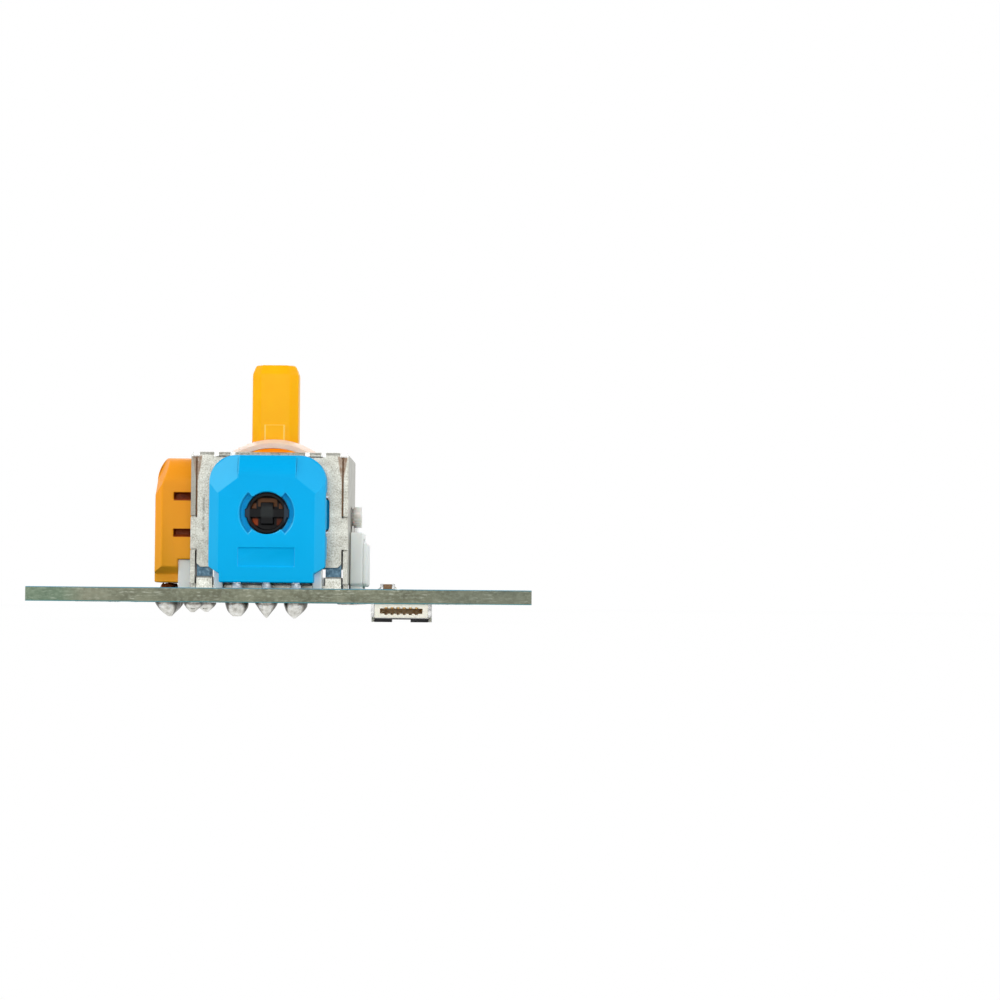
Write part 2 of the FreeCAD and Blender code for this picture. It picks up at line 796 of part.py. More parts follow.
def arch_yoke():
    ball = Part.makeSphere(dome_radius, TILT_CENTRE)
    hollow = rod_along_y(dome_inside, -dome_half, dome_half, 0, tilt_height)
    shell = ball.common(dome_block(yoke_reach, dome_half, yoke_skirt))
    inner = hollow.common(dome_block(yoke_reach - yoke_plate, dome_half, dome_radius))
    shell = shell.cut(inner)
    slot = dome_block(dome_slot_half_x, dome_slot_half_y, 0)
    shell = shell.cut(slot)
    solids = [shell]
    for side in (-1, 1):
        low, high = sorted((side * cheek_inner, side * dome_half))
        solids.append(block(-yoke_reach, yoke_reach, low, high,
                            tilt_height - yoke_skirt, tilt_height + yoke_skirt))
    solids.append(rod_along_x(journal_radius, -housing_inner, -(yoke_reach - yoke_plate), 0, tilt_height))
    solids.append(block(-tongue_end + journal_end_gap, -housing_inner, -tongue_width / 2, tongue_width / 2,
                        tilt_height - tongue_height / 2, tilt_height + tongue_height / 2))
    solids.append(rod_along_x(end_journal_radius, yoke_reach - yoke_plate, end_disc_inner, 0, tilt_height))
    solids.append(rod_along_x(end_disc_radius, end_disc_inner, end_disc_outer, 0, tilt_height))
    bore = rod_along_y(pin_radius + pin_fit, -dome_half, dome_half, 0, tilt_height)
    return joined(solids).cut(bore)


def pivot_pin():
    return rod_along_y(pin_radius, -dome_half, dome_half, 0, tilt_height)


def stick_outline(width, depth):
    """The stem's plan: a rectangle with slanting corners."""
    half_x = width / 2
    half_y = depth / 2
    corner = stick_corner
    return [(half_x, corner - half_y), (half_x, half_y - corner), (half_x - corner, half_y),
            (corner - half_x, half_y), (-half_x, half_y - corner), (-half_x, corner - half_y),
            (corner - half_x, -half_y), (half_x - corner, -half_y)]


def stick_ring(width, depth, z):
    corners = [FreeCAD.Vector(x, y, z) for x, y in stick_outline(width, depth)]
    return Part.makePolygon(corners + [corners[0]])


def stick():
    head_bottom = stick_top - stick_top_chamfer_height
    stem = plan_prism(stick_outline(stick_width, stick_depth), shank_top, head_bottom)
    inset = 2 * stick_top_chamfer
    head = Part.makeLoft([stick_ring(stick_width, stick_depth, head_bottom),
                          stick_ring(stick_width - inset, stick_depth - inset, stick_top)], True, True)
    shank = plan_prism(stick_outline(shank_width, shank_depth), tilt_height, shank_top)
    hub = rod_along_y(hub_radius, -stick_depth / 2, stick_depth / 2, 0, tilt_height)
    pad_reach = stick_depth / 2 + pad_raise
    pad = block(-pad_width / 2, pad_width / 2, -pad_reach, pad_reach, shank_top, pad_top)
    foot_base = FreeCAD.Vector(0, 0, tilt_height - foot_drop)
    foot = Part.makeCone(foot_radius, hub_radius, foot_drop, foot_base, Z_AXIS)
    bore = rod_along_y(pin_radius + pin_running_play, -stick_depth / 2, stick_depth / 2, 0, tilt_height)
    return joined([stem, head, shank, hub, pad, foot]).cut(bore)


def cross_profile():
    """The lower yoke seen from the right: a half ring on two straight legs."""
    x = -cross_width / 2
    bottom = tilt_height - yoke_skirt

    def place(y, z):
        return FreeCAD.Vector(x, y, z)

    def half_ring(radius, side):
        ends = place(-side * radius, tilt_height), place(side * radius, tilt_height)
        return Part.Arc(ends[0], place(0, tilt_height + radius), ends[1]).toShape()

    def leg_lines(side, first_radius, last_radius):
        corners = [place(side * first_radius, tilt_height), place(side * first_radius, bottom),
                   place(side * last_radius, bottom), place(side * last_radius, tilt_height)]
        return [Part.makeLine(low, high) for low, high in zip(corners, corners[1:])]

    outer = half_ring(cross_radius, 1)
    inner = half_ring(cross_inside, -1)
    right = leg_lines(1, cross_radius, cross_inside)
    left = leg_lines(-1, cross_inside, cross_radius)
    return Part.Wire([outer] + right + [inner] + left)


def cross_yoke():
    """The lower yoke: an arch along Y with a slot for the stick's sideways swing."""
    slot = block(-cross_slot_half_x, cross_slot_half_x, -cross_slot_half_y, cross_slot_half_y,
                 tilt_height, tilt_height + cross_radius)
    shell = Part.Face(cross_profile()).extrude(FreeCAD.Vector(cross_width, 0, 0)).cut(slot)
    leg = cross_inside
    collar_end = cover_inside - collar_gap
    solids = [shell]
    solids.append(rod_along_y(collar_radius, -collar_end, -leg, 0, tilt_height))
    solids.append(rod_along_y(collar_radius, leg, collar_end, 0, tilt_height))
    solids.append(rod_along_y(journal_radius, -housing_inner, -leg, 0, tilt_height))
    solids.append(rod_along_y(journal_radius, leg, cover_half, 0, tilt_height))
    solids.append(block(-tongue_width / 2, tongue_width / 2, -tongue_end + journal_end_gap, -housing_inner,
                        tilt_height - tongue_height / 2, tilt_height + tongue_height / 2))
    return joined(solids)


def spring_seat():
    disc = rod_along_z(seat_radius, seat_bottom, seat_top, 0, 0)
    spigot = rod_along_z(seat_spigot_radius, seat_bottom - seat_spigot_length, seat_bottom, 0, 0)
    return joined([disc, spigot])


def spring_section(angle):
    """The wire's outline at one angle round the coil, square to the way the wire runs."""
    wire_radius = spring_wire / 2
    rise = (seat_bottom - frame_floor - spring_wire) / spring_turns / (2 * math.pi)
    centre = FreeCAD.Vector(spring_mean_radius * math.cos(angle), spring_mean_radius * math.sin(angle),
                            frame_floor + wire_radius + rise * angle)
    run = FreeCAD.Vector(-spring_mean_radius * math.sin(angle), spring_mean_radius * math.cos(angle), rise)
    outward = FreeCAD.Vector(math.cos(angle), math.sin(angle), 0)
    upward = outward.cross(run.normalize())
    corners = ring_of_points(centre, outward, upward, wire_radius, spring_wire_sides)
    return Part.makePolygon(corners + [corners[0]])


def return_spring():
    steps = spring_turns * spring_steps_per_turn
    step = 2 * math.pi / spring_steps_per_turn
    sections = [spring_section(step * index) for index in range(steps + 1)]
    return Part.makeLoft(sections, True, True)


def switch_profile(x_low, x_high, z_low, z_high, corner):
    """A plate that stands on its edge along Y, with its lower ends cut at a slant."""
    half = switch_length / 2
    points = [(corner - half, z_low), (half - corner, z_low), (half, z_low + corner), (half, z_high),
              (-half, z_high), (-half, z_low + corner)]
    corners = [FreeCAD.Vector(x_low, y, z) for y, z in points]
    return outline_prism(corners, FreeCAD.Vector(x_high - x_low, 0, 0))


def switch_body():
    body = switch_profile(switch_inner, switch_outer, switch_bottom, switch_top, switch_corner)
    half = switch_length / 2
    feet = []
    for side in (-1, 1):
        outer_end = half - switch_corner
        low, high = sorted((side * outer_end, side * (outer_end - switch_foot_length)))
        feet.append(block(switch_inner, switch_outer, low, high, 0, switch_bottom))
    pocket_inner = switch_inner + switch_pocket_wall
    half_pocket = switch_pocket_length / 2
    pocket = block(pocket_inner, switch_outer, -half_pocket, half_pocket,
                   switch_pocket_bottom, switch_pocket_top)
    half_plunger = plunger_length / 2 + plunger_play
    mouth_outer = pocket_inner + plunger_blade + 2 * plunger_play
    mouth = block(pocket_inner, mouth_outer, -half_plunger, half_plunger, switch_pocket_top, switch_top)
    terminals = switch_terminals()
    return joined([body] + feet).cut([pocket, mouth, terminals])


def switch_cover():
    cover = switch_profile(switch_outer, switch_cover_outer, switch_bottom, switch_cover_top, switch_corner)
    rim = [edge for edge in cover.Edges if abs(edge.CenterOfMass.x - switch_cover_outer) < same]
    return cover.makeChamfer(switch_cover_chamfer, rim)


def switch_plunger():
    x_low = switch_inner + switch_pocket_wall + plunger_play
    x_high = switch_outer - plunger_play
    half = plunger_length / 2
    shaft = block(x_low, x_low + plunger_blade, -half, half, plunger_bottom, plunger_top)
    half_shoulder = half + plunger_shoulder
    shoulder = block(x_low, x_high, -half_shoulder, half_shoulder, plunger_bottom,
                     plunger_bottom + plunger_shoulder_height)
    return joined([shaft, shoulder])


def switch_dome():
    """A bowed contact strip that stands on the pocket's floor under the plunger."""
    x_low = switch_inner + switch_pocket_wall + plunger_play
    x_high = switch_outer - plunger_play
    rise = plunger_bottom - dome_strip_gap - switch_pocket_bottom
    half = dome_strip_length / 2

    def bow(top_rise, reach):
        start = FreeCAD.Vector(x_low, -reach, switch_pocket_bottom)
        top = FreeCAD.Vector(x_low, 0, switch_pocket_bottom + top_rise)
        end = FreeCAD.Vector(x_low, reach, switch_pocket_bottom)
        return Part.Arc(start, top, end).toShape()

    def foot(side):
        outer_end = FreeCAD.Vector(x_low, side * half, switch_pocket_bottom)
        inner_end = FreeCAD.Vector(x_low, side * half_inside, switch_pocket_bottom)
        return Part.makeLine(outer_end, inner_end)

    half_inside = half - dome_strip_thickness
    back_along_inside = bow(rise - dome_strip_thickness, -half_inside)
    outline = Part.Wire([bow(rise, half), foot(1), back_along_inside, foot(-1)])
    return Part.Face(outline).extrude(FreeCAD.Vector(x_high - x_low, 0, 0))


def switch_terminals():
    pins = []
    for y in terminal_places():
        pins.append(block(terminal_x() - terminal_thickness / 2, terminal_x() + terminal_thickness / 2,
                          y - terminal_width / 2, y + terminal_width / 2,
                          board_bottom - flat_solder_height, switch_pocket_bottom - switch_bottom))
    return Part.makeCompound(pins)


def switch_solder():
    joints = [solder_joint(terminal_x(), y, flat_solder_height) for y in terminal_places()]
    return Part.makeCompound([joint.cut(switch_terminals()) for joint in joints])


def contact_places():
    first = conn_x - (contact_count - 1) / 2 * contact_pitch
    return [first + index * contact_pitch for index in range(contact_count)]


def connector_housing():
    half = conn_width / 2
    body = block(conn_x - half, conn_x + half, conn_front, conn_rear, conn_bottom, board_bottom)
    mouth = block(conn_x - cable_slot_width / 2, conn_x + cable_slot_width / 2, conn_front,
                  conn_front + cable_slot_depth, slot_bottom, slot_top)
    cuts = [mouth]
    for x in contact_places():
        half_groove = contact_groove_width / 2
        cuts.append(block(x - half_groove, x + half_groove, conn_front, conn_front + cable_slot_depth,
                          slot_bottom - contact_groove_height, slot_top + contact_groove_height))
        cuts.append(block(x - half_groove, x + half_groove, conn_front + cable_slot_depth, conn_rear,
                          slot_top, slot_top + contact_groove_height))
    ears = []
    for side in (-1, 1):
        low, high = sorted((conn_x + side * half, conn_x + side * (half + latch_ear_width)))
        ear = block(low, high, latch_axis_y - latch_ear_length / 2, latch_axis_y + latch_ear_length / 2,
                    latch_bottom, board_bottom)
        ears.append(ear)
    bore_reach = half + latch_ear_width
    bore_start = FreeCAD.Vector(conn_x - bore_reach, latch_axis_y, latch_axis_z)
    bore_corners = ring_of_points(bore_start, Y_AXIS, Z_AXIS, latch_bore_radius, relief_sides)
    bore = outline_prism(bore_corners, FreeCAD.Vector(2 * bore_reach, 0, 0))
    return joined([body.cut(cuts)] + ears).cut(bore)


def connector_contacts():
    contacts = []
    for x in contact_places():
        half = contact_width / 2
        strip = block(x - half, x + half, conn_front + contact_front_inset, conn_rear + contact_thickness,
                      slot_top, slot_top + contact_thickness)
        riser = block(x - half, x + half, conn_rear, conn_rear + contact_thickness, slot_top, board_bottom)
        tail = block(x - half, x + half, conn_rear, conn_rear + contact_tail,
                     board_bottom - contact_tail_thickness, board_bottom)
        contacts.append(joined([strip, riser, tail]))
    return Part.makeCompound(contacts)


def connector_anchors():
    half = conn_width / 2
    anchors = []
    for side in (-1, 1):
        low, high = sorted((conn_x + side * half, conn_x + side * (half + anchor_width)))
        anchors.append(block(low, high, conn_front, conn_front + anchor_length,
                             board_bottom - anchor_drop, board_bottom))
    return Part.makeCompound(anchors)


def connector_latch():
    half = conn_width / 2 - latch_pin_play
    plate = block(conn_x - half, conn_x + half, conn_front, latch_axis_y, latch_bottom, latch_top)
    notch = block(conn_x - latch_notch_width / 2, conn_x + latch_notch_width / 2, conn_front,
                  latch_axis_y + latch_thickness / 2, latch_bottom, latch_top - latch_web)
    roll = rod_along_x(latch_thickness / 2, conn_x - half, conn_x + half, latch_axis_y, latch_axis_z)
    pin_reach = half + latch_pin_length
    pins = rod_along_x(latch_pin_radius, conn_x - pin_reach, conn_x + pin_reach, latch_axis_y, latch_axis_z)
    return joined([plate, roll, pins]).cut(notch)


def capacitor_body():
    half = cap_length / 2 - cap_end
    return block(cap_x - half, cap_x + half, cap_y - cap_depth / 2, cap_y + cap_depth / 2,
                 cap_end_proud, cap_height)


def capacitor_caps():
    caps = []
    for side in (-1, 1):
        low, high = sorted((cap_x + side * (cap_length / 2 - cap_end), cap_x + side * cap_length / 2))
        half_y = cap_depth / 2 + cap_end_proud
        caps.append(block(low, high, cap_y - half_y, cap_y + half_y, 0, cap_height + cap_end_proud))
    return Part.makeCompound(caps)


def all_parts():
    return {
        "circuit_board": circuit_board(),
        "metal_cover": metal_cover(),
        "base_plate": base_plate(),
        "base_frame": base_frame(),
        "front_sensor_housing": sensor_housing(),
        "side_sensor_housing": to_side(sensor_housing()),
        "front_rotor": sensor_rotor(),
        "side_rotor": to_side(sensor_rotor()),
        "front_magnet": sensor_magnet(),
        "side_magnet": to_side(sensor_magnet()),
        "front_sensor_chip": sensor_chip(),
        "side_sensor_chip": to_side(sensor_chip()),
        "front_sensor_leads": sensor_leads(),
        "side_sensor_leads": to_side(sensor_leads()),
        "front_lead_solder": lead_solder(),
        "side_lead_solder": to_side(lead_solder()),
        "cover_leg_solder": cover_leg_solder(),
        "arch_yoke": arch_yoke(),
        "pivot_pin": pivot_pin(),
        "cross_yoke": cross_yoke(),
        "stick": stick(),
        "spring_seat": spring_seat(),
        "return_spring": return_spring(),
        "switch_body": switch_body(),
        "switch_cover": switch_cover(),
        "switch_plunger": switch_plunger(),
        "switch_dome": switch_dome(),
        "switch_terminals": switch_terminals(),
        "switch_solder": switch_solder(),
        "connector_housing": connector_housing(),
        "connector_contacts": connector_contacts(),
        "connector_anchors": connector_anchors(),
        "connector_latch": connector_latch(),
        "capacitor_body": capacitor_body(),
        "capacitor_caps": capacitor_caps(),
    }


os.makedirs("parts", exist_ok=True)
for name, shape in all_parts().items():
    shape.exportStep("parts/" + name + ".step")
    box = shape.BoundBox
    print(name, "solids", len(shape.Solids), "valid", shape.isValid(), "volume", round(shape.Volume, 3),
          "x", round(box.XMin, 2), round(box.XMax, 2), "y", round(box.YMin, 2), round(box.YMax, 2),
          "z", round(box.ZMin, 2), round(box.ZMax, 2))
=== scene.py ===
# %% [markdown]
# # A controller's analog stick, dressed for its portrait
# The object is a two-axis thumb stick module, about two centimetres tall, on a stretch of circuit
# board. Its pieces already have their true shapes and places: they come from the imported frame.
# This lesson adds what a camera sees beyond shape: rounded moulding edges, plating, solder, the
# woven edge of the board, light and a lens. Blender works in metres here, and millimetres are the
# natural unit for such a small thing, so most lengths are written in them and multiplied by MM.

import bmesh
import bpy
import math
import random
from mathutils import Matrix, Vector


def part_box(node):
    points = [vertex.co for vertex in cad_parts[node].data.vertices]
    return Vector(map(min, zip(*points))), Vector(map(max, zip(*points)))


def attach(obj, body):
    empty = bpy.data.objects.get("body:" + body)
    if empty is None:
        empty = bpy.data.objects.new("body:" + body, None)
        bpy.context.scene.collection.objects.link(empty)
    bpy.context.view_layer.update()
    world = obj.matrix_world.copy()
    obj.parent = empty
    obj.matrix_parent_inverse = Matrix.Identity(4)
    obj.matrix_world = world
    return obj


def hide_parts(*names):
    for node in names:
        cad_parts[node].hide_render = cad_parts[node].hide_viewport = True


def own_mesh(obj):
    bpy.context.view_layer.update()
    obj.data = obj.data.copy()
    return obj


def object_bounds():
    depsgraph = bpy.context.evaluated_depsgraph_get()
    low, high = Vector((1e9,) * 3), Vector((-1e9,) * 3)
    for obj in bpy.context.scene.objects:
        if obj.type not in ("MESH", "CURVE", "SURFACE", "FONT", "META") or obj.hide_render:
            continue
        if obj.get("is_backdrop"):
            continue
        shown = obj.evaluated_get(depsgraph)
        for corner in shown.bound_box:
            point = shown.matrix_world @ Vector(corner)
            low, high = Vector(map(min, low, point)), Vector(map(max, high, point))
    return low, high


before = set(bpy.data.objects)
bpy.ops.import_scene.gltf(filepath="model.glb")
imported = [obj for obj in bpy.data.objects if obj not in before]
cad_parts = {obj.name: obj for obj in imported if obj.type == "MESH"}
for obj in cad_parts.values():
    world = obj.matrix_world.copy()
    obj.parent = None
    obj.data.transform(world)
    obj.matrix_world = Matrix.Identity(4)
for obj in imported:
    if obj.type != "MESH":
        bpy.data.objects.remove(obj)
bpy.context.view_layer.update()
MM = 0.001
print("pieces in the frame:", len(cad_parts))


# %% [markdown]
# ## Shader maths as plain arithmetic
# A material in Blender is a graph of nodes, and a graph drawn by hand in code is hard to read.
# Flow wraps one socket of that graph, and gives it the ordinary operators, so that "mask * 0.5 + 1"
# adds the two Math nodes that it needs. Reflected forms make "1 - mask" work too. Finish holds one
# material, or the world, and its node() makes most other nodes: settings first, then values or
# links.

# %% Flow: a socket that can be added, subtracted, multiplied and divided
class Flow:
    def __init__(self, finish, socket):
        self.finish = finish
        self.socket = socket

    def math(self, operation, first, second=None):
        values = {0: first} if second is None else {0: first, 1: second}
        return self.finish.node("ShaderNodeMath", {"operation": operation}, values)

    def __add__(self, other):
        return self.math("ADD", self, other)

    def __radd__(self, other):
        return self.math("ADD", other, self)

    def __sub__(self, other):
        return self.math("SUBTRACT", self, other)

    def __rsub__(self, other):
        return self.math("SUBTRACT", other, self)

    def __mul__(self, other):
        return self.math("MULTIPLY", self, other)

    def __rmul__(self, other):
        return self.math("MULTIPLY", other, self)

    def __truediv__(self, other):
        return self.math("DIVIDE", self, other)

    def __abs__(self):
        return self.math("ABSOLUTE", self)

    def __gt__(self, other):
        return self.math("GREATER_THAN", self, other)

    def __lt__(self, other):
        return self.math("LESS_THAN", self, other)

    def clipped(self):
        """Kept between 0 and 1."""
        return self.math("MINIMUM", self.math("MAXIMUM", self, 0.0), 1.0)

    def spread(self, middle, gain):
        """Its contrast raised round a middle value, which becomes 0.5, and kept between 0 and 1."""
        return ((self - middle) * gain + 0.5).clipped()


# %% Finish: one material, or the world, and the methods that make its nodes
class Finish:
    def __init__(self, name, library=bpy.data.materials):
        self.holder = library.new(name)
        self.holder.use_nodes = True
        self.tree = self.holder.node_tree
        self.tree.nodes.clear()

    def node(self, kind, settings, sockets, output=0):
        made = self.tree.nodes.new(kind)
        for key, value in settings.items():
            if key == "stops":
                self.set_stops(made.color_ramp, value)
            else:
                setattr(made, key, value)
        for key, value in sockets.items():
            self.feed(made.inputs[key], value)
        return Flow(self, made.outputs[output])

    def feed(self, socket, value):
        if isinstance(value, Flow):
            self.tree.links.new(value.socket, socket)
        elif hasattr(socket.default_value, "__len__") and not hasattr(value, "__len__"):
            socket.default_value = [value] * len(socket.default_value)
        elif hasattr(value, "__len__") and len(socket.default_value) == 4 and len(value) == 3:
            socket.default_value = (*value, 1.0)
        else:
            socket.default_value = value

    def set_stops(self, ramp, stops):
        while len(ramp.elements) < len(stops):
            ramp.elements.new(1.0)
        for element, (position, colour) in zip(ramp.elements, stops):
            element.position = position
            element.color = (*colour, 1.0)

    def places(self):
        """The point being shaded, in millimetres of the object's own frame."""
        spot = self.node("ShaderNodeTexCoord", {}, {}, "Object")
        return self.node("ShaderNodeVectorMath", {"operation": "SCALE"}, {0: spot, "Scale": 1 / MM})

    def noise(self, size, detail=3.0, roughness=0.55, stretch=(1.0, 1.0, 1.0)):
        """Cloudy values round 0.5. size is the width of one cloud in millimetres."""
        scaled = self.node("ShaderNodeVectorMath", {"operation": "MULTIPLY"}, {0: self.places(), 1: stretch})
        sockets = {"Vector": scaled, "Scale": 1 / size, "Detail": detail, "Roughness": roughness}
        return self.node("ShaderNodeTexNoise", {}, sockets, 0)

    def split(self, vector):
        """The X, Y and Z of a vector as three numbers."""
        parts = self.tree.nodes.new("ShaderNodeSeparateXYZ")
        self.tree.links.new(vector.socket, parts.inputs[0])
        return [Flow(self, socket) for socket in parts.outputs]

    def coordinates(self):
        """X, Y and Z of the point being shaded, in millimetres."""
        return self.split(self.places())

    def facing(self):
        """How far the surface faces along X, Y and Z."""
        return self.split(self.node("ShaderNodeTexCoord", {}, {}, "Normal"))

    def turned(self):
        """How far the flat face itself points along X, Y and Z, with no rounding of the shading."""
        return self.split(self.node("ShaderNodeNewGeometry", {}, {}, "True Normal"))

    def band(self, value, low, high, soft):
        """1 where value lies between low and high, fading over soft on each side."""
        rising = ((value - (low - soft)) / soft).clipped()
        falling = (((high + soft) - value) / soft).clipped()
        return rising * falling

    def blend(self, factor, first, second):
        """A colour between two colours."""
        return self.node("ShaderNodeMix", {"data_type": "RGBA"}, {0: factor, 6: first, 7: second}, 2)

    def ramp(self, value, *stops):
        """A colour looked up by value from stops of position and colour."""
        return self.node("ShaderNodeValToRGB", {"stops": stops}, {0: value})

    def bump(self, height, depth, strength=1.0):
        """A normal from a height between 0 and 1, where depth is the real relief in millimetres."""
        sockets = {"Height": height, "Distance": depth * MM, "Strength": strength}
        return self.node("ShaderNodeBump", {}, sockets)

    def surface(self, sockets):
        shader = self.node("ShaderNodeBsdfPrincipled", {}, sockets)
        self.node_out(shader)
        return self.holder

    def node_out(self, shader, kind="ShaderNodeOutputMaterial"):
        output = self.tree.nodes.new(kind)
        self.tree.links.new(shader.socket, output.inputs[0])


def from_screen(red, green, blue):
    """A colour read off a screen, 0 to 255, as the linear colour that a shader needs."""
    def linear(value):
        share = value / 255
        return share / 12.92 if share <= 0.04045 else ((share + 0.055) / 1.055) ** 2.4
    return (linear(red), linear(green), linear(blue))


# %% [markdown]
# ## The camera
# The portrait was taken from far off with a long lens, almost level with the board, a little to
# the right of the module. A long lens keeps the module's sides nearly parallel, so the distance
# has to be right as well as the angle. The lens is given by its focal length in picture widths,
# because that is what fixes the perspective, and the tiny roll is the photographer's own.

# %% Camera
PICTURE_WIDTH = 1000
FOCAL_PIXELS = 2832.0
SENSOR_MM = 36.0
CAMERA_PLACE = Vector((17.98, -249.83, -1.28)) * MM
LOOK_UP_DEG = 2.14
LOOK_RIGHT_DEG = 0.424
ROLL_DEG = 0.509


def make_camera():
    lens = bpy.data.cameras.new("portrait_lens")
    lens.sensor_width = SENSOR_MM
    lens.lens = FOCAL_PIXELS / PICTURE_WIDTH * SENSOR_MM
    lens.clip_start = 10 * MM
    lens.clip_end = 10.0
    camera = bpy.data.objects.new("portrait_camera", lens)
    bpy.context.scene.collection.objects.link(camera)
    swing = Matrix.Rotation(math.radians(-LOOK_RIGHT_DEG), 4, "Z")
    raise_up = Matrix.Rotation(math.radians(90 + LOOK_UP_DEG), 4, "X")
    roll = Matrix.Rotation(math.radians(ROLL_DEG), 4, "Z")
    camera.matrix_world = Matrix.Translation(CAMERA_PLACE) @ swing @ raise_up @ roll
    bpy.context.scene.camera = camera
    return camera


camera = make_camera()
print("lens", round(camera.data.lens, 1), "mm")


# %% [markdown]
# ## Moulded plastic
# Most of the module is injection moulded. Such plastic is never one flat colour: the flow of the
# melt leaves faint clouds, the mould's spark-eroded steel leaves a fine grain that breaks up the
# gloss, and light sinks in a little before it comes back, which the subsurface weight stands for.
# The pigment is strong and the gloss is thin, so the specular level is low: a high one would wash
# the blue out with white. One function makes them all, because the pieces differ only in pigment.

# %% Moulded plastic
def moulding_sockets(finish, tone, gloss, glow, sheen, grain=0.004):
    """What every moulding shares: a speckled gloss, a grained normal and a little depth."""
    specks = finish.noise(0.09, 2.0)
    fine = finish.noise(0.055, 2.0, 0.6)
    broad = finish.noise(1.1, 2.0)
    return {
        "Base Color": tone, "Roughness": (specks - 0.5) * 0.22 + gloss,
        "Normal": finish.bump(fine * 0.6 + broad * 2.0, grain, 0.8), "Specular IOR Level": sheen,
        "Subsurface Weight": glow, "Subsurface Radius": (1.0, 0.6, 0.4), "Subsurface Scale": 0.4 * MM,
    }


def moulded(name, colour, shade, gloss, glow=0.05, sheen=0.2):
    finish = Finish(name)
    tone = finish.blend(finish.noise(1.8, 4.0).spread(0.5, 2.2), shade, colour)
    return finish.surface(moulding_sockets(finish, tone, gloss, glow, sheen))


YOKE_ORANGE = moulded("orange_yoke", from_screen(255, 150, 14), from_screen(248, 138, 8), 0.38, sheen=0.12)
WHITE = moulded("white_moulding", from_screen(252, 253, 251), from_screen(248, 250, 248), 0.42, 0.12)
BLACK = moulded("black_moulding", from_screen(30, 30, 32), from_screen(20, 20, 22), 0.42, 0.0)


# %% [markdown]
# Four mouldings are not one tone throughout, because light and shade are painted into them. Both
# housings, the blue and the orange, are painted paler near the board, against the board's shade,
# and the blue one has a painted highlight on its slanting corners. The stick is a little see-through;
# the edges beside its key pad and along its top have painted highlights, its shank is painted a
# deeper orange as shade under the yoke, and a painted orange glow stands for light that the plastic
# carries there. Light barely reaches the floor of the orange housing's lead slots, so it is painted
# dark brown as shade, and the connector's mouth is painted tan inside as shade.

# %% Mouldings with painted light and shade in places
PAD_HALF = 0.86
PAD_TOP = 14.4
PAD_FRONT = 1.70
SHANK_TOP = 12.6
GLOW_FOOT = 11.0
SHADE_HEIGHT = 11.5
CORNERS_BEGIN = -9.0
SLOT_HEIGHTS = ((7.60, 8.28), (4.45, 5.13))
SLOT_LEFT = -8.42
SLOT_FRONT = -5.05
CONNECTOR_FRONT = -16.4
MOUTH_ACROSS = (9.66, 13.64)
MOUTH_UP = (-2.12, -1.45)


def levelled(finish, z, low_tone, high_tone):
    """Painted light: paler near the board, where the board shades what stands on it, so that a housing looks
    even.
    """
    return finish.blend((z / SHADE_HEIGHT).clipped(), low_tone, high_tone)


def blue_housing():
    finish = Finish("blue_moulding")
    _, y, z = finish.coordinates()
    aside, _, up = finish.turned()
    clouds = (finish.noise(1.8, 4.0) - 0.5) * 0.10
    # Painted light: the blue housing is painted paler near the board, against the board's shade.
    plain = levelled(finish, z - clouds * 10, from_screen(0, 190, 255), from_screen(0, 170, 232))
    # Painted highlight: the slanting corners are painted paler, most where they face up and to the left,
    # where the left lamp falls.
    slant = ((abs(aside) - 0.10) / 0.12).clipped() * (y < CORNERS_BEGIN)
    corner = slant * (0.12 + (aside < 0.0) * (up > 0.15) * 0.26)
    tone = finish.blend(corner, plain, from_screen(110, 214, 252))
    return finish.surface(moulding_sockets(finish, tone, 0.42, 0.04, 0.05))


def amber_stick():
    finish = Finish("amber_moulding")
    x, y, z = finish.coordinates()
    # Painted highlight: the edges beside the key pad, and faintly its top edge, are painted paler.
    front = abs(y) > PAD_FRONT
    sides = finish.band(abs(x), PAD_HALF - 0.07, PAD_HALF + 0.03, 0.03)
    sides = sides * finish.band(z, SHANK_TOP, PAD_TOP, 0.03)
    crown = finish.band(z, PAD_TOP - 0.05, PAD_TOP + 0.03, 0.03) * (abs(x) < PAD_HALF)
    painted_edge_highlight = ((sides + crown * 0.35) * front).clipped()
    plain = finish.blend(finish.noise(1.8, 4.0).spread(0.5, 2.2), from_screen(255, 180, 0),
                         from_screen(255, 188, 6))
    tone = finish.blend(painted_edge_highlight * 0.8, plain, from_screen(255, 222, 120))
    # Painted shade: the shank under the yoke is painted a deeper orange.
    shank = z < SHANK_TOP
    tone = finish.blend(shank, tone, from_screen(255, 168, 16))
    sockets = moulding_sockets(finish, tone, 0.34, 0.10, 0.12)
    # Painted light: an orange glow is painted on the shank by the yoke, though no lamp is there.
    by_yoke = finish.band(z, GLOW_FOOT, SHANK_TOP, 0.3)
    glow = finish.blend(by_yoke, from_screen(0, 0, 0), from_screen(196, 112, 0))
    return finish.surface({**sockets, "Emission Color": glow, "Emission Strength": 1.0})


def orange_housing():
    finish = Finish("orange_moulding")
    x, y, z = finish.coordinates()
    # Painted shade: the floors of the lead slots are painted dark brown, where light barely reaches.
    upper, lower = (finish.band(z, *heights, 0.05) for heights in SLOT_HEIGHTS)
    slots = (upper + lower).clipped() * (x > SLOT_LEFT) * (y > SLOT_FRONT)
    clouds = (finish.noise(1.8, 4.0) - 0.5) * 0.10
    # Painted light: the orange housing is painted paler near the board, against the board's shade.
    plain = levelled(finish, z - clouds * 10, from_screen(255, 172, 40), from_screen(252, 158, 28))
    dark = finish.blend(finish.noise(0.3, 3.0).spread(0.5, 2.4), from_screen(120, 40, 4),
                        from_screen(172, 74, 14))
    tone = finish.blend(slots, plain, dark)
    return finish.surface(moulding_sockets(finish, tone, 0.40, 0.05, 0.12))


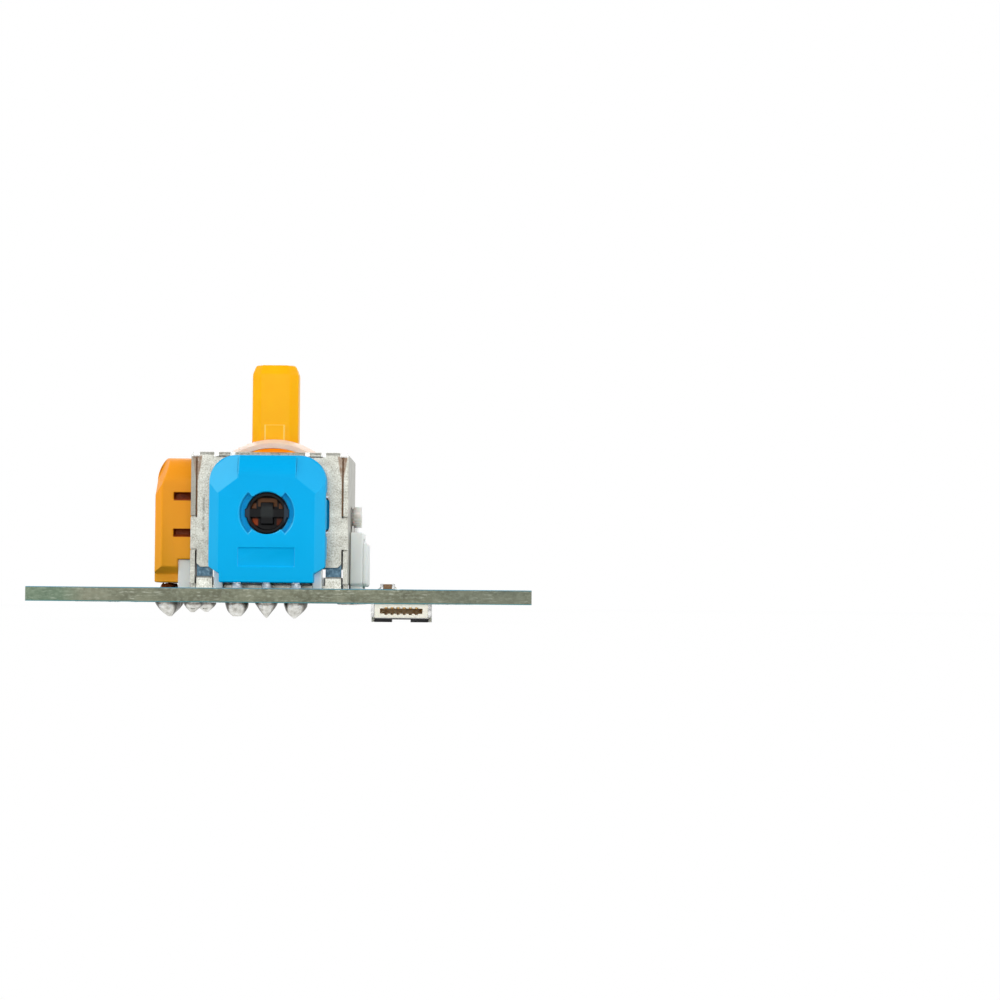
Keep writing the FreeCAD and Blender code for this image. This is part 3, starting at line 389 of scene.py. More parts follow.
def cream_housing():
    finish = Finish("cream_moulding")
    x, y, z = finish.coordinates()
    # Painted shade: inside the connector's mouth the cream is painted tan.
    mouth = (y > CONNECTOR_FRONT + 0.06) * finish.band(z, *MOUTH_UP, 0.03)
    mouth = mouth * finish.band(x, *MOUTH_ACROSS, 0.03)
    plain = finish.blend(finish.noise(0.9, 3.0).spread(0.5, 2.2), from_screen(232, 228, 212),
                         from_screen(242, 240, 228))
    tan = finish.blend(finish.noise(0.25, 3.0).spread(0.5, 2.4), from_screen(196, 156, 100),
                       from_screen(240, 220, 182))
    tone = finish.blend(mouth, plain, tan)
    return finish.surface(moulding_sockets(finish, tone, 0.45, 0.05, 0.2))


BLUE = blue_housing()
AMBER = amber_stick()
ORANGE = orange_housing()
CREAM = cream_housing()


# %% [markdown]
# The domed yoke is natural nylon, which has no pigment. Light passes into it, and near the amber
# stick a peach tone is painted in for the stick's orange light that it carries; further down, by the
# metal, it looks milky. The rest of it is the same white-grey as the little disc at the end of its
# shaft.

# %% Natural nylon
def natural_nylon():
    finish = Finish("natural_nylon")
    x, _, z = finish.coordinates()
    # Painted light: near the stick the nylon is painted peach, for the stick's orange light that it carries.
    near_stick = finish.band(z, 11.2, 15.0, 0.6) * finish.band(abs(x), 0.0, 4.2, 1.6)
    milky = finish.blend(finish.noise(1.4, 3.0).spread(0.5, 2.0), from_screen(226, 222, 216),
                         from_screen(240, 238, 235))
    peach = finish.blend(finish.noise(0.9, 3.0).spread(0.5, 1.6), from_screen(240, 212, 194),
                         from_screen(246, 224, 208))
    tone = finish.blend(near_stick, milky, peach)
    return finish.surface(moulding_sockets(finish, tone, 0.34, 0.35, 0.3))


NATURAL = natural_nylon()


# %% [markdown]
# ## The rotors
# A rotor is glossy black plastic, and it is hollow: down between its hub and its rim one sees the
# copper-brown of the sensor behind it, above the hub. Glints are painted in, orange low on either
# side and brown higher up, with a painted grey highlight on the hub and painted blue-grey highlights
# on the bar's ends. These sit at fixed places on the rotor, so its own coordinates say where they
# are. The side rotor is the same moulding turned a quarter, so the function takes which axis runs
# across it.

# %% Rotor finish
AXIS_HEIGHT = 6.4
NOSE_FRONT = 9.7
FLOOR_SHARE = 0.45


def rotor_finish(name, turned):
    finish = Finish(name)
    x, y, z = finish.coordinates()
    across = abs(y) if turned else abs(x)
    outward = (0 - x) if turned else (0 - y)
    deep = outward < (NOSE_FRONT - FLOOR_SHARE)
    up = z - AXIS_HEIGHT
    above_hub = finish.band(across, 0.0, 0.75, 0.12) * finish.band(up, 0.62, 1.25, 0.08)
    # Painted glints: orange low on either side and brown higher up.
    low_glint = finish.band(across, 0.85, 1.22, 0.1) * finish.band(up, -0.95, -0.5, 0.12)
    high_glint = finish.band(across, 1.0, 1.3, 0.08) * finish.band(up, 0.45, 0.8, 0.1)
    black = finish.blend(finish.noise(0.3, 3.0), from_screen(6, 7, 9), from_screen(18, 19, 21))
    # Painted highlights: the hub is painted grey and the bar's ends blue-grey.
    hub_highlight = finish.band(across, 0.0, 0.45, 0.15) * finish.band(up, -0.20, 0.45, 0.25)
    black = finish.blend(hub_highlight * 0.7, black, from_screen(44, 48, 48))
    bar_end_highlight = finish.band(across, 1.5, 1.9, 0.06)
    black = finish.blend(bar_end_highlight * 0.7, black, from_screen(48, 66, 82))
    tone = finish.blend(deep * above_hub * 0.85, black, from_screen(128, 84, 50))
    one_side = (y > 0.0) if turned else (x < 0.0)
    tone = finish.blend(deep * low_glint * (one_side * 0.6 + 0.3), tone, from_screen(196, 80, 20))
    tone = finish.blend(deep * high_glint * 0.8, tone, from_screen(150, 96, 60))
    return finish.surface(moulding_sockets(finish, tone, 0.24, 0.0, 0.07, 0.006))


FRONT_ROTOR = rotor_finish("front_rotor_moulding", False)
SIDE_ROTOR = rotor_finish("side_rotor_moulding", True)


# %% [markdown]
# ## Tin-plated sheet
# The cover is folded from tinned steel. The plating is dull and finely grained, like frost, with
# wider smears where it was handled. The side walls show the rolling direction as upright streaks.
# Along the seams and under the corner reliefs the cut steel has browned. At the reliefs, and at each
# end of the clip slots, a bright dot is painted in as a highlight, where the torn, rounded edge of
# the sheet would catch the light.

# %% Tin-plated sheet
COVER_HALF = 6.75
FRONT_Y = -COVER_HALF
SEAM_X = 6.27
SEAM_FOOT = 6.28
FOLD_Z = 11.35
RELIEF_X = (3.2, 4.6)
DARKER_STRIP_X = (-6.80, -6.36)
DARK_MARK_X = (-5.72, -5.58)
DARK_MARK_Z = (5.0, 8.2)
GLINT_X = (4.74, 5.02)
GLINT_Z = ((7.72, 7.98), (4.82, 5.08))
SEAM_BROWN = from_screen(134, 100, 70)
PAINTED_GLINT_WHITE = from_screen(252, 252, 250)


def tin_tone(finish, smear, fine):
    """The plating's colour from its smears and its grain."""
    mottle = (smear * 0.30 + fine * 0.70).spread(0.5, 3.4)
    return finish.ramp(mottle, (0.0, from_screen(112, 111, 102)), (0.35, from_screen(154, 153, 144)),
                       (0.65, from_screen(176, 176, 167)), (1.0, from_screen(206, 206, 199)))


def tinned_sheet():
    finish = Finish("tinned_sheet")
    x, y, z = finish.coordinates()
    smear = finish.noise(1.1, 4.0, 0.6)
    fine = finish.noise(0.13, 4.0, 0.75)
    streaks = finish.noise(0.16, 3.0, 0.6, (1.0, 1.0, 0.08))
    side_face = abs(x) > COVER_HALF - 0.01
    brushed = (streaks - 0.5) * 0.35 + (fine - 0.5) * 0.35 + 0.52
    colour = tin_tone(finish, smear, fine * (1 - side_face) + brushed * side_face)
    # A strip by the left corner, beyond the seam, is darker.
    strip = finish.band(x, *DARKER_STRIP_X, 0.02) * (y < -6.0) * (z > SEAM_FOOT - 0.08)
    colour = finish.blend(strip * 0.75, colour, from_screen(122, 119, 110))
    # A thin upright darker mark runs down the front wall.
    dark_mark = finish.band(x, *DARK_MARK_X, 0.04) * finish.band(z, *DARK_MARK_Z, 0.2) * (y < FRONT_Y + 0.05)
    dark_mark = dark_mark * finish.noise(0.3, 3.0).spread(0.5, 4.0)
    colour = finish.blend(dark_mark, colour, from_screen(120, 119, 112))
    ragged = finish.noise(0.30, 3.0).spread(0.45, 3.0)
    funnel = ((z - 9.2) / 2.0).clipped() * 0.34 + 0.10
    reach = ((funnel - abs(abs(x) - (SEAM_X - 0.04))) / 0.08).clipped()
    along_seam = finish.band(z, SEAM_FOOT + 0.02, FOLD_Z, 0.12) * (y < -6.2)
    stain = (reach * (0.30 + ragged * 0.70)).clipped() * along_seam
    colour = finish.blend(stain * 0.85, colour, SEAM_BROWN)
    # Painted highlights: a bright dot at each relief and at each end of the clip slots.
    painted_glints = finish.band(abs(x), SEAM_X - 0.22, SEAM_X + 0.42, 0.05)
    for relief in RELIEF_X:
        painted_glints = painted_glints + finish.band(abs(x), relief - 0.19, relief + 0.19, 0.03)
    painted_glints = painted_glints.clipped() * finish.band(z, FOLD_Z + 0.02, 12.0, 0.05) * (y < FRONT_Y + 0.52)
    upper, lower = (finish.band(z, *heights, 0.04) for heights in GLINT_Z)
    glint = finish.band(abs(x), *GLINT_X, 0.04) * (upper + lower)
    painted_glints = (painted_glints + glint * (y < FRONT_Y + 0.3)).clipped()
    colour = finish.blend(painted_glints, colour, PAINTED_GLINT_WHITE)
    rough = (fine - 0.5) * 0.30 + 0.42
    normal = finish.bump(smear * 0.8 + fine * 0.5, 0.010, 0.7)
    return finish.surface({"Base Color": colour, "Metallic": 1.0 - (stain * 0.8 + painted_glints * 0.7).clipped(),
                           "Roughness": rough, "Normal": normal})


TINNED = tinned_sheet()


# %% [markdown]
# The base plate is the same sheet, but what stands up behind the wall lies in the sensor housing's
# shade, so it is painted dark blue: painted shade, with a painted reflection of the blue housing.
# Its lips along the board are plain tin, with a thin darker line along their top.

# %% Base plate
PAINTED_SHADE_Z = (1.08, 3.0)
LIP_EDGE_Z = (0.93, 1.06)


def shaded_tin():
    finish = Finish("shaded_tin")
    z = finish.coordinates()[2]
    smear = finish.noise(0.8, 4.0, 0.6)
    fine = finish.noise(0.14, 3.0, 0.7)
    painted_blue_shade = finish.ramp(finish.noise(0.3, 3.0).spread(0.5, 2.2), (0.0, from_screen(30, 58, 74)),
                          (0.6, from_screen(74, 104, 122)), (1.0, from_screen(120, 148, 162)))
    # Painted shade, with a painted reflection of the blue housing, on the plate behind the wall.
    shade = finish.band(z, *PAINTED_SHADE_Z, 0.06)
    lip_edge = finish.band(z, *LIP_EDGE_Z, 0.04)
    colour = finish.blend(shade, tin_tone(finish, smear, fine), painted_blue_shade)
    colour = finish.blend(lip_edge * 0.7, colour, from_screen(40, 46, 50))
    return finish.surface({"Base Color": colour, "Metallic": 1.0 - shade * 0.4,
                           "Roughness": (fine - 0.5) * 0.3 + 0.36,
                           "Normal": finish.bump(smear + fine * 0.5, 0.010, 0.7)})


SHADED_TIN = shaded_tin()


# %% [markdown]
# ## Bright metal: leads, springs and gold
# A lead is tin over copper. Such metals are full metals, so their colour is their reflection, and
# what makes them look real is a roughness and a normal that wander.

# %% Bright metal
def bright_metal(name, bright, dull, roughness, dent, size=0.5, metallic=1.0):
    finish = Finish(name)
    patches = finish.noise(size, 4.0, 0.6)
    tone = finish.blend(patches.spread(0.5, 2.4), dull, bright)
    normal = finish.bump(finish.noise(size * 0.8, 3.0), dent, 0.8)
    return finish.surface({"Base Color": tone, "Metallic": metallic, "Normal": normal,
                           "Roughness": (patches - 0.5) * 0.3 + roughness})


TINNED_LEAD = bright_metal("tinned_lead", from_screen(246, 247, 246), from_screen(206, 206, 204), 0.26, 0.01)
CAP_TIN = bright_metal("cap_plating", from_screen(186, 186, 184), from_screen(112, 112, 112), 0.3, 0.02, 0.25)
SPRING = bright_metal("spring_steel", from_screen(200, 202, 204), from_screen(150, 152, 155), 0.25, 0.004)
GOLD = bright_metal("gold_flash", from_screen(206, 166, 104), from_screen(150, 112, 70), 0.3, 0.004)
MAGNET = bright_metal("sintered_magnet", from_screen(92, 92, 96), from_screen(58, 58, 62), 0.5, 0.01, 0.2)


# %% [markdown]
# ## Solder
# Solder cools into a soft grey skin. A few mirror-bright spots are painted in as highlights, and
# flanks that face sideways are painted dark, as a painted reflection of darker surroundings. Where it
# meets the pad, a thin ring darkens it: partly scorched flux, partly a painted dark reflection of the
# board. Each joint is drawn one by one, so no two are alike: some hang as a blunt drop, some as a
# cone. The next cell gives the finish, and the shapes come further on.

# %% Solder finish
LEAD_PITCH = 2.5
LEAD_REACH = 9.2
BOARD_LOW, BOARD_HIGH = (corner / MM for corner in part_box("circuit_board"))


def solder_finish():
    finish = Finish("solder_skin")
    x, _, z = finish.coordinates()
    skin = finish.noise(0.45, 4.0, 0.55)
    bright = finish.ramp(skin.spread(0.5, 2.4), (0.0, from_screen(172, 171, 164)),
                         (0.5, from_screen(214, 213, 206)), (1.0, from_screen(246, 246, 242)))
    # Scorched flux by the pad, and a painted dark reflection of the board there.
    by_pad = finish.band(z, BOARD_LOW.z - 0.12, BOARD_LOW.z + 0.1, 0.18)
    flux_and_dark_reflection = by_pad * finish.noise(0.5, 3.0).spread(0.42, 3.0)
    tone = finish.blend(flux_and_dark_reflection * 0.75, bright, from_screen(112, 92, 78))
    # Painted reflection: flanks that face sideways are painted dark.
    flank = finish.band(abs(finish.facing()[0]), 0.74, 1.2, 0.22) * (z < BOARD_LOW.z)
    tone = finish.blend(flank * 0.85, tone, from_screen(58, 54, 47))
    # Painted highlights: bright spots either side of the middle of each lead.
    off_centre = x.math("MINIMUM", abs(x), abs(abs(x) - LEAD_PITCH))
    off_centre = x.math("MINIMUM", off_centre, abs(x + LEAD_REACH))
    spots = finish.band(off_centre, 0.36, 0.50, 0.06)
    spots = spots * finish.band(z, BOARD_LOW.z - 0.40, BOARD_LOW.z - 0.24, 0.06)
    tone = finish.blend(spots, tone, from_screen(255, 255, 255))
    normal = finish.bump(skin * 0.7 + finish.noise(0.16, 2.0) * 0.3, 0.05, 0.7)
    return finish.surface({"Base Color": tone, "Metallic": (1.0 - flux_and_dark_reflection * 0.6) * (1.0 - spots * 0.5),
                           "Normal": normal, "Roughness": (skin - 0.5) * 0.5 + 0.3})


SOLDER = solder_finish()
# Painted highlight: near-white and mostly not metal, so that the fillets read bright.
PAINTED_BRIGHT_SOLDER = bright_metal("painted_bright_solder", from_screen(255, 255, 255), from_screen(214, 220, 226),
                          0.4, 0.02, 0.3, 0.3)


# %% [markdown]
# ## The circuit board
# Seen edge-on, a board is a stack: a thin teal solder mask on each face, and between them layers
# of woven glass in resin, cut by a router. The cut edge is olive grey with short pale dashes where
# the router crossed the glass bundles. Where the surface faces up or down the shader shows the
# mask, elsewhere the edge, so one material serves the whole board.

# %% Board material
MASK_DEPTH = 0.07


def board_edge(finish, x, z):
    """The routed edge: resin, broken rows of glass bundles, and teal skins at top and bottom."""
    blotch = finish.noise(1.6, 4.0, 0.6, (0.6, 0.6, 1.0))
    rows = finish.node("ShaderNodeTexWave", {"wave_type": "BANDS", "bands_direction": "Z"},
                       {"Vector": finish.places(), "Scale": 1.15, "Distortion": 2.2, "Detail": 2.0,
                        "Detail Scale": 1.6}, 1)
    dashes = finish.noise(0.32, 2.0, 0.5, (0.55, 0.55, 1.6)).spread(0.60, 6.0) * rows
    patchy = finish.noise(3.2, 2.0).spread(0.52, 4.0)
    fibre = finish.ramp(blotch.spread(0.5, 2.6), (0.0, from_screen(90, 92, 72)),
                        (0.5, from_screen(110, 113, 91)), (1.0, from_screen(134, 136, 114)))
    flecks = finish.noise(0.20, 3.0, 0.6, (0.6, 0.6, 1.2)).spread(0.56, 5.0)
    fibre = finish.blend(flecks * 0.35, fibre, from_screen(160, 166, 146))
    fibre = finish.blend(dashes * (0.30 + patchy * 0.55), fibre, from_screen(182, 186, 168))
    left_green = finish.band(x, BOARD_LOW.x - 1, BOARD_LOW.x + 3.0, 2.0)
    fibre = finish.blend(left_green * 0.35, fibre, from_screen(88, 140, 112))
    right_dark = finish.band(x, BOARD_HIGH.x - 6.0, BOARD_HIGH.x + 1, 4.0)
    fibre = finish.blend(right_dark * 0.35, fibre, from_screen(74, 86, 76))
    ragged = finish.noise(0.5, 2.0) * 0.05
    # The top skin is painted lighter than the bottom one, as painted light from above.
    top_skin = z > (ragged + (BOARD_HIGH.z - MASK_DEPTH - 0.02))
    low_skin = z < ((BOARD_LOW.z + MASK_DEPTH + 0.02) - ragged)
    skinned = finish.blend(low_skin, fibre, from_screen(38, 124, 132))
    return finish.blend(top_skin, skinned, from_screen(66, 138, 158)), dashes


def board_finish():
    finish = Finish("circuit_board")
    x, _, z = finish.coordinates()
    up = finish.facing()[2]
    edge, dashes = board_edge(finish, x, z)
    face = abs(up) > 0.6
    weave = finish.noise(0.35, 2.0, 0.5, (1.0, 0.4, 1.0)) * 0.5 + finish.noise(3.0) * 0.5
    mask = finish.blend(weave.spread(0.5, 2.4), from_screen(6, 84, 84), from_screen(18, 112, 108))
    height = (dashes * 0.5 + finish.noise(0.12, 3.0)) * (1 - face) + weave * face * 0.3
    return finish.surface({
        "Base Color": finish.blend(face, edge, mask), "Roughness": (1 - face) * 0.36 + 0.22,
        "Normal": finish.bump(height, 0.02, 0.7), "Coat Weight": face * 0.4, "Coat Roughness": 0.1})


def track_finish():
    """Copper under the mask: the same teal, but paler, because the copper shines through."""
    finish = Finish("masked_copper")
    clouds = finish.noise(0.8).spread(0.5, 2.0)
    tone = finish.blend(clouds, from_screen(26, 122, 114), from_screen(44, 140, 128))
    return finish.surface({"Base Color": tone, "Roughness": finish.noise(0.2) * 0.1 + 0.2,
                           "Normal": finish.bump(finish.noise(0.3), 0.01, 0.6), "Coat Weight": 0.4})


BOARD = board_finish()
TRACK = track_finish()


# %% [markdown]
# ## Ceramic and burnt flux
# The chip capacitor's body is fired ceramic, dull brown with a fine grain. Flux is a resin that is
# left over from soldering: it dries to a brown, glassy crust round the lead that stands nearest.

# %% Ceramic and flux
def grained(name, dark, light, size, roughness, depth, coat):
    finish = Finish(name)
    grain = finish.noise(size, 4.0)
    return finish.surface({"Base Color": finish.blend(grain.spread(0.5, 2.0), dark, light),
                           "Roughness": grain * 0.3 + roughness, "Coat Weight": coat,
                           "Normal": finish.bump(grain, depth)})


CERAMIC = grained("fired_ceramic", from_screen(110, 78, 46), from_screen(152, 112, 70),
                  0.12, 0.35, 0.006, 0.0)
FLUX = grained("burnt_flux", from_screen(86, 36, 12), from_screen(160, 84, 34), 0.22, 0.12, 0.03, 0.5)
RUST = grained("seam_oxide", from_screen(106, 74, 50), from_screen(158, 122, 90), 0.20, 0.55, 0.03, 0.0)


# %% [markdown]
# ## Rounded edges
# The frame's solids have knife edges, and real mouldings don't: a mould is cut with a small
# radius, and a line of light runs along it. A bevel modifier on a copy gives that radius. The copy
# is first welded and its flat faces are merged, because the frame arrives as triangles and a bevel
# would otherwise catch on their diagonals.

# %% Rounded copies of CAD nodes
ROOM_SHARE = 0.42
TURN_LIMIT = math.radians(35)
FLAT_LIMIT = math.radians(0.6)
WELD = 0.0005


def room_beside(edge):
    """The width that a bevel along this edge may take, from the edges that lead away from it."""
    room = math.inf
    for loop in edge.link_loops:
        for other in (loop.link_loop_next.edge, loop.link_loop_prev.edge):
            shared = (set(edge.verts) & set(other.verts)).pop()
            along = edge.other_vert(shared).co - shared.co
            away = other.other_vert(shared).co - shared.co
            turn = min(along.angle(away), math.pi - along.angle(away))
            if turn > TURN_LIMIT:
                room = min(room, away.length * math.sin(turn) * ROOM_SHARE)
    return room


def welded(node):
    """The node's mesh as bmesh, with points that share a place made one."""
    work = bmesh.new()
    work.from_mesh(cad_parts[node].data)
    bmesh.ops.remove_doubles(work, verts=work.verts, dist=WELD * MM)
    return work


def piece_from(work, name, body, material, sharp_deg, replaced=None):
    """Turns a bmesh into an object that rides on a body, and that may stand for a node."""
    mesh = bpy.data.meshes.new(name)
    work.to_mesh(mesh)
    work.free()
    mesh.materials.append(material)
    mesh.shade_smooth()
    mesh.set_sharp_from_angle(angle=math.radians(sharp_deg))
    piece = bpy.data.objects.new(name, mesh)
    bpy.context.scene.collection.objects.link(piece)
    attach(piece, body)
    if replaced:
        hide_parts(replaced)
    return piece


def softened(node, width_mm, sharper_than, body, material):
    """A copy with each flat face as one face, and a bevel along its sharp edges."""
    work = welded(node)
    bmesh.ops.dissolve_limit(work, angle_limit=FLAT_LIMIT, verts=work.verts, edges=work.edges)
    weights = work.edges.layers.float.new("bevel_weight_edge")
    for edge in work.edges:
        if len(edge.link_faces) == 2 and edge.calc_face_angle() > math.radians(sharper_than):
            edge[weights] = min(1.0, room_beside(edge) / (width_mm * MM))
    piece = piece_from(work, node + "_moulding", body, material, 40, node)
    bevel = piece.modifiers.new("rounded_edges", "BEVEL")
    bevel.width = width_mm * MM
    bevel.segments = 2
    bevel.limit_method = "WEIGHT"
    bevel.use_clamp_overlap = False
    bevel.loop_slide = False
    bevel.harden_normals = True


def smoothed(node, body, material):
    """A copy with smooth curves and crisp edges, for domes and thin blades."""
    return piece_from(welded(node), node + "_moulding", body, material, 28, node)


# %% [markdown]
# A thick moulding takes a wider radius than a thin one. The table below gives, for each node that
# gets a rounded copy, the radius in millimetres, the turn in degrees from which an edge is rounded,
# the body that it rides on, the record's slot and the finish.

# %% The mouldings
SOFTENED = {
    "stick": (0.16, 20, "stick", "amber_plastic", AMBER),
    "front_sensor_housing": (0.12, 6, "module", "blue_plastic", BLUE),
    "side_sensor_housing": (0.12, 6, "module", "orange_plastic", ORANGE),
    "base_frame": (0.08, 20, "module", "white_plastic", WHITE),
    "switch_body": (0.12, 6, "module", "white_plastic", WHITE),
    "switch_cover": (0.10, 6, "module", "white_plastic", WHITE),
    "switch_plunger": (0.05, 6, "switch_plunger", "white_plastic", WHITE),
    "connector_housing": (0.05, 20, "module", "cream_plastic", CREAM),
    "front_rotor": (0.06, 20, "cross_yoke", "black_plastic", FRONT_ROTOR),
    "side_rotor": (0.06, 20, "side_rotor", "black_plastic", SIDE_ROTOR),
    "capacitor_body": (0.03, 6, "module", "brown_ceramic", CERAMIC),
    "capacitor_caps": (0.04, 6, "module", "tinned_contact", CAP_TIN),
}
SMOOTHED = {
    "arch_yoke": ("arch_yoke", "natural_plastic", NATURAL),
    "cross_yoke": ("cross_yoke", "orange_plastic", YOKE_ORANGE),
    "spring_seat": ("spring_seat", "white_plastic", WHITE),
    "return_spring": ("module", "spring_steel", SPRING),
    "switch_dome": ("module", "spring_steel", SPRING),
    "connector_latch": ("connector_latch", "black_plastic", BLACK),
}
for node, (width, sharper_than, body, slot, material) in SOFTENED.items():
    softened(node, width, sharper_than, body, material)
copies = {node: smoothed(node, body, material) for node, (body, slot, material) in SMOOTHED.items()}
print("rounded copies:", len(SOFTENED), "smoothed copies:", len(SMOOTHED))


# %% Springs with meshes of their own
SQUASHED = {"return_spring": 0.885, "switch_dome": 0.42}
for node, keep in SQUASHED.items():
    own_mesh(copies[node])
print("springs that give way:", len(SQUASHED))


# %% [markdown]
# ## Dressing the nodes
# Nodes whose shape is right keep their mesh, and only get their material.

# %% Materials on the nodes that stay
PLAIN_NODES = {
    "metal_cover": TINNED, "base_plate": SHADED_TIN,
    "circuit_board": BOARD, "front_magnet": MAGNET, "side_magnet": MAGNET,
    "front_sensor_chip": BLACK, "side_sensor_chip": BLACK,
    "front_sensor_leads": TINNED_LEAD, "side_sensor_leads": TINNED_LEAD,
    "switch_solder": SOLDER, "switch_terminals": TINNED_LEAD, "pivot_pin": SPRING,
    "connector_contacts": GOLD, "connector_anchors": CAP_TIN,
}


def dress(node, material):
    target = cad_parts[node]
    if not target.material_slots:
        target.data.materials.append(material)
    for index in range(len(target.material_slots)):
        target.material_slots[index].material = material


for node, material in PLAIN_NODES.items():
    dress(node, material)
print("dressed nodes:", len(PLAIN_NODES))


# %% [markdown]
# ## Turned blobs
# Solder, flux and fillets are all lumps that stand on the board, so one helper makes them. It
# stacks rings from the board outwards, with a radius that follows a curve, lets the tip lean, and
# shakes every point a little with seeded chance, so that the same lump comes out each time. Many
# lumps of one node are gathered in one mesh.

# %% Helper for lumps on the board
random.seed(7)
RING_SIDES = 32
RING_STEPS = 14


def join_rings(work, near, far):
    """Faces between two closed rings of as many points each."""
    for index in range(len(near)):
        following = (index + 1) % len(near)
        work.faces.new((near[index], near[following], far[following], far[index]))


def lump(work, place, height, foot, tip, fullness, lean=(0.0, 0.0), shake=0.03, direction=-1):
    """Adds a closed lump to a bmesh. Lengths are millimetres, and direction -1 hangs downwards."""
    rings = []
    for step in range(RING_STEPS + 1):
        share = step / RING_STEPS
        radius = tip + (foot - tip) * (1 - share ** fullness)
        ring = []
        for side in range(RING_SIDES):
            turn = 2 * math.pi * side / RING_SIDES
            wobble = 1 + shake * math.sin(3 * turn + 5 * share) + random.uniform(-0.3, 0.3) * shake
            spot = Vector((place[0] + radius * wobble * math.cos(turn) + lean[0] * share,
                           place[1] + radius * wobble * math.sin(turn) + lean[1] * share,
                           place[2] + direction * height * share))
            ring.append(work.verts.new(spot * MM))
        rings.append(ring)
    for near, far in zip(rings, rings[1:]):
        join_rings(work, near, far)
    work.faces.new(rings[0])
    work.faces.new(rings[-1])


def finish_lumps(work, name, material, replaced=None):
    """Turns the faces outward, and makes a piece that rides on the module."""
    bmesh.ops.recalc_face_normals(work, faces=work.faces)
    piece_from(work, name, "module", material, 60, replaced)


# %% [markdown]
# ## Solder joints
# The row under the front sensor reads, from the left, as a blunt drop, a sharp cone and a fuller
# bullet. Under the side sensor the first joint leans to the right. The cover's two left legs end in
# low ragged cones, and the right pair are cut almost flush. The shapes are chosen one by one.

# %% Solder pieces
FRONT_JOINTS = [
    {"height": 1.16, "foot": 1.0, "tip": 0.34, "fullness": 2.1, "lean": (0.03, 0.0)},
    {"height": 1.28, "foot": 1.0, "tip": 0.05, "fullness": 1.15, "lean": (0.04, 0.0)},
    {"height": 1.30, "foot": 1.02, "tip": 0.10, "fullness": 1.9, "lean": (-0.10, 0.0)},
]
SIDE_JOINTS = [
    {"height": 1.24, "foot": 1.02, "tip": 0.16, "fullness": 1.7, "lean": (0.34, 0.0)},
    {"height": 1.1, "foot": 1.0, "tip": 0.22, "fullness": 1.8, "lean": (0.0, 0.1)},
    {"height": 1.2, "foot": 1.0, "tip": 0.08, "fullness": 1.4, "lean": (-0.1, 0.0)},
]
LEG_X = 6.55
LEG_Y = 5.4
RAGGED_CONE = {"height": 0.86, "foot": 0.95, "shake": 0.06}
CUT_FLUSH = {"height": 0.12, "foot": 0.8, "tip": 0.5, "fullness": 2.0, "shake": 0.05}
LEG_JOINTS = [
    (-LEG_X, -LEG_Y, {**RAGGED_CONE, "tip": 0.16, "fullness": 1.3, "lean": (-0.05, 0.0)}),
    (-LEG_X, LEG_Y, {**RAGGED_CONE, "tip": 0.14, "fullness": 1.5, "lean": (0.1, 0.0)}),
    (LEG_X, -LEG_Y, CUT_FLUSH),
    (LEG_X, LEG_Y, CUT_FLUSH),
]


def solder_pieces():
    front = bmesh.new()
    side = bmesh.new()
    for index in range(3):
        offset = (index - 1) * LEAD_PITCH
        lump(front, (offset, -LEAD_REACH, BOARD_LOW.z), **FRONT_JOINTS[index])
        lump(side, (-LEAD_REACH, offset, BOARD_LOW.z), **SIDE_JOINTS[index])
    finish_lumps(front, "front_lead_joints", SOLDER, "front_lead_solder")
    finish_lumps(side, "side_lead_joints", SOLDER, "side_lead_solder")
    legs = bmesh.new()
    for x, y, shape in LEG_JOINTS:
        lump(legs, (x, y, BOARD_LOW.z), **shape)
    finish_lumps(legs, "cover_leg_joints", SOLDER, "cover_leg_solder")


solder_pieces()
print("solder joints:", len(FRONT_JOINTS) + len(SIDE_JOINTS) + len(LEG_JOINTS))


# %% [markdown]
# Above the board a little solder climbs each lead, and it shows as a bright ring under the blue
# housing: its near-white colour, mostly not metal, is a painted highlight. Burnt flux stands round the
# side sensor's leads, and fillets hold the capacitor.

# %% Flux crusts and fillets on top of the board
CRUST_FEET = (0.74, 0.6, 0.62)
CRUST = {"height": 0.47, "tip": 0.34, "fullness": 0.9, "lean": (0.06, 0.0), "shake": 0.10, "direction": 1}
FILLET = {"height": 0.46, "foot": 0.52, "tip": 0.36, "fullness": 0.5, "shake": 0.05, "direction": 1}


def crusts_and_fillets():
    crust = bmesh.new()
    for index, foot in enumerate(CRUST_FEET):
        lump(crust, (-LEAD_REACH, (index - 1) * LEAD_PITCH, 0.0), foot=foot, **CRUST)
    finish_lumps(crust, "flux_crusts", FLUX)
    rings = bmesh.new()
    for index in range(3):
        lump(rings, ((index - 1) * LEAD_PITCH, -LEAD_REACH, 0.0), **FILLET)
    finish_lumps(rings, "lead_fillets", PAINTED_BRIGHT_SOLDER)
    low, high = (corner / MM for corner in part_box("capacitor_caps"))
    middle = (low.y + high.y) / 2
    fillets = bmesh.new()
    lump(fillets, (low.x + 0.05, middle, 0.0), 0.26, 0.36, 0.10, 0.8, (0.12, 0.0), 0.04, 1)
    lump(fillets, (high.x + 0.02, middle, 0.0), 0.36, 0.50, 0.10, 0.7, (-0.2, 0.0), 0.04, 1)
    finish_lumps(fillets, "capacitor_fillets", SOLDER)


crusts_and_fillets()
print("crusts and fillets made")


# %% [markdown]
# ## Oxide in the seams
# The cover's corners are folded but not welded, and in the seams the bare cut edge has browned. A
# thin strip of that oxide stands a little inside each front seam, with ragged sides.

# %% Seam oxide
SEAM_HALF = 0.085
STRIP_DEPTH = 0.12
STRIP_STEPS = 60


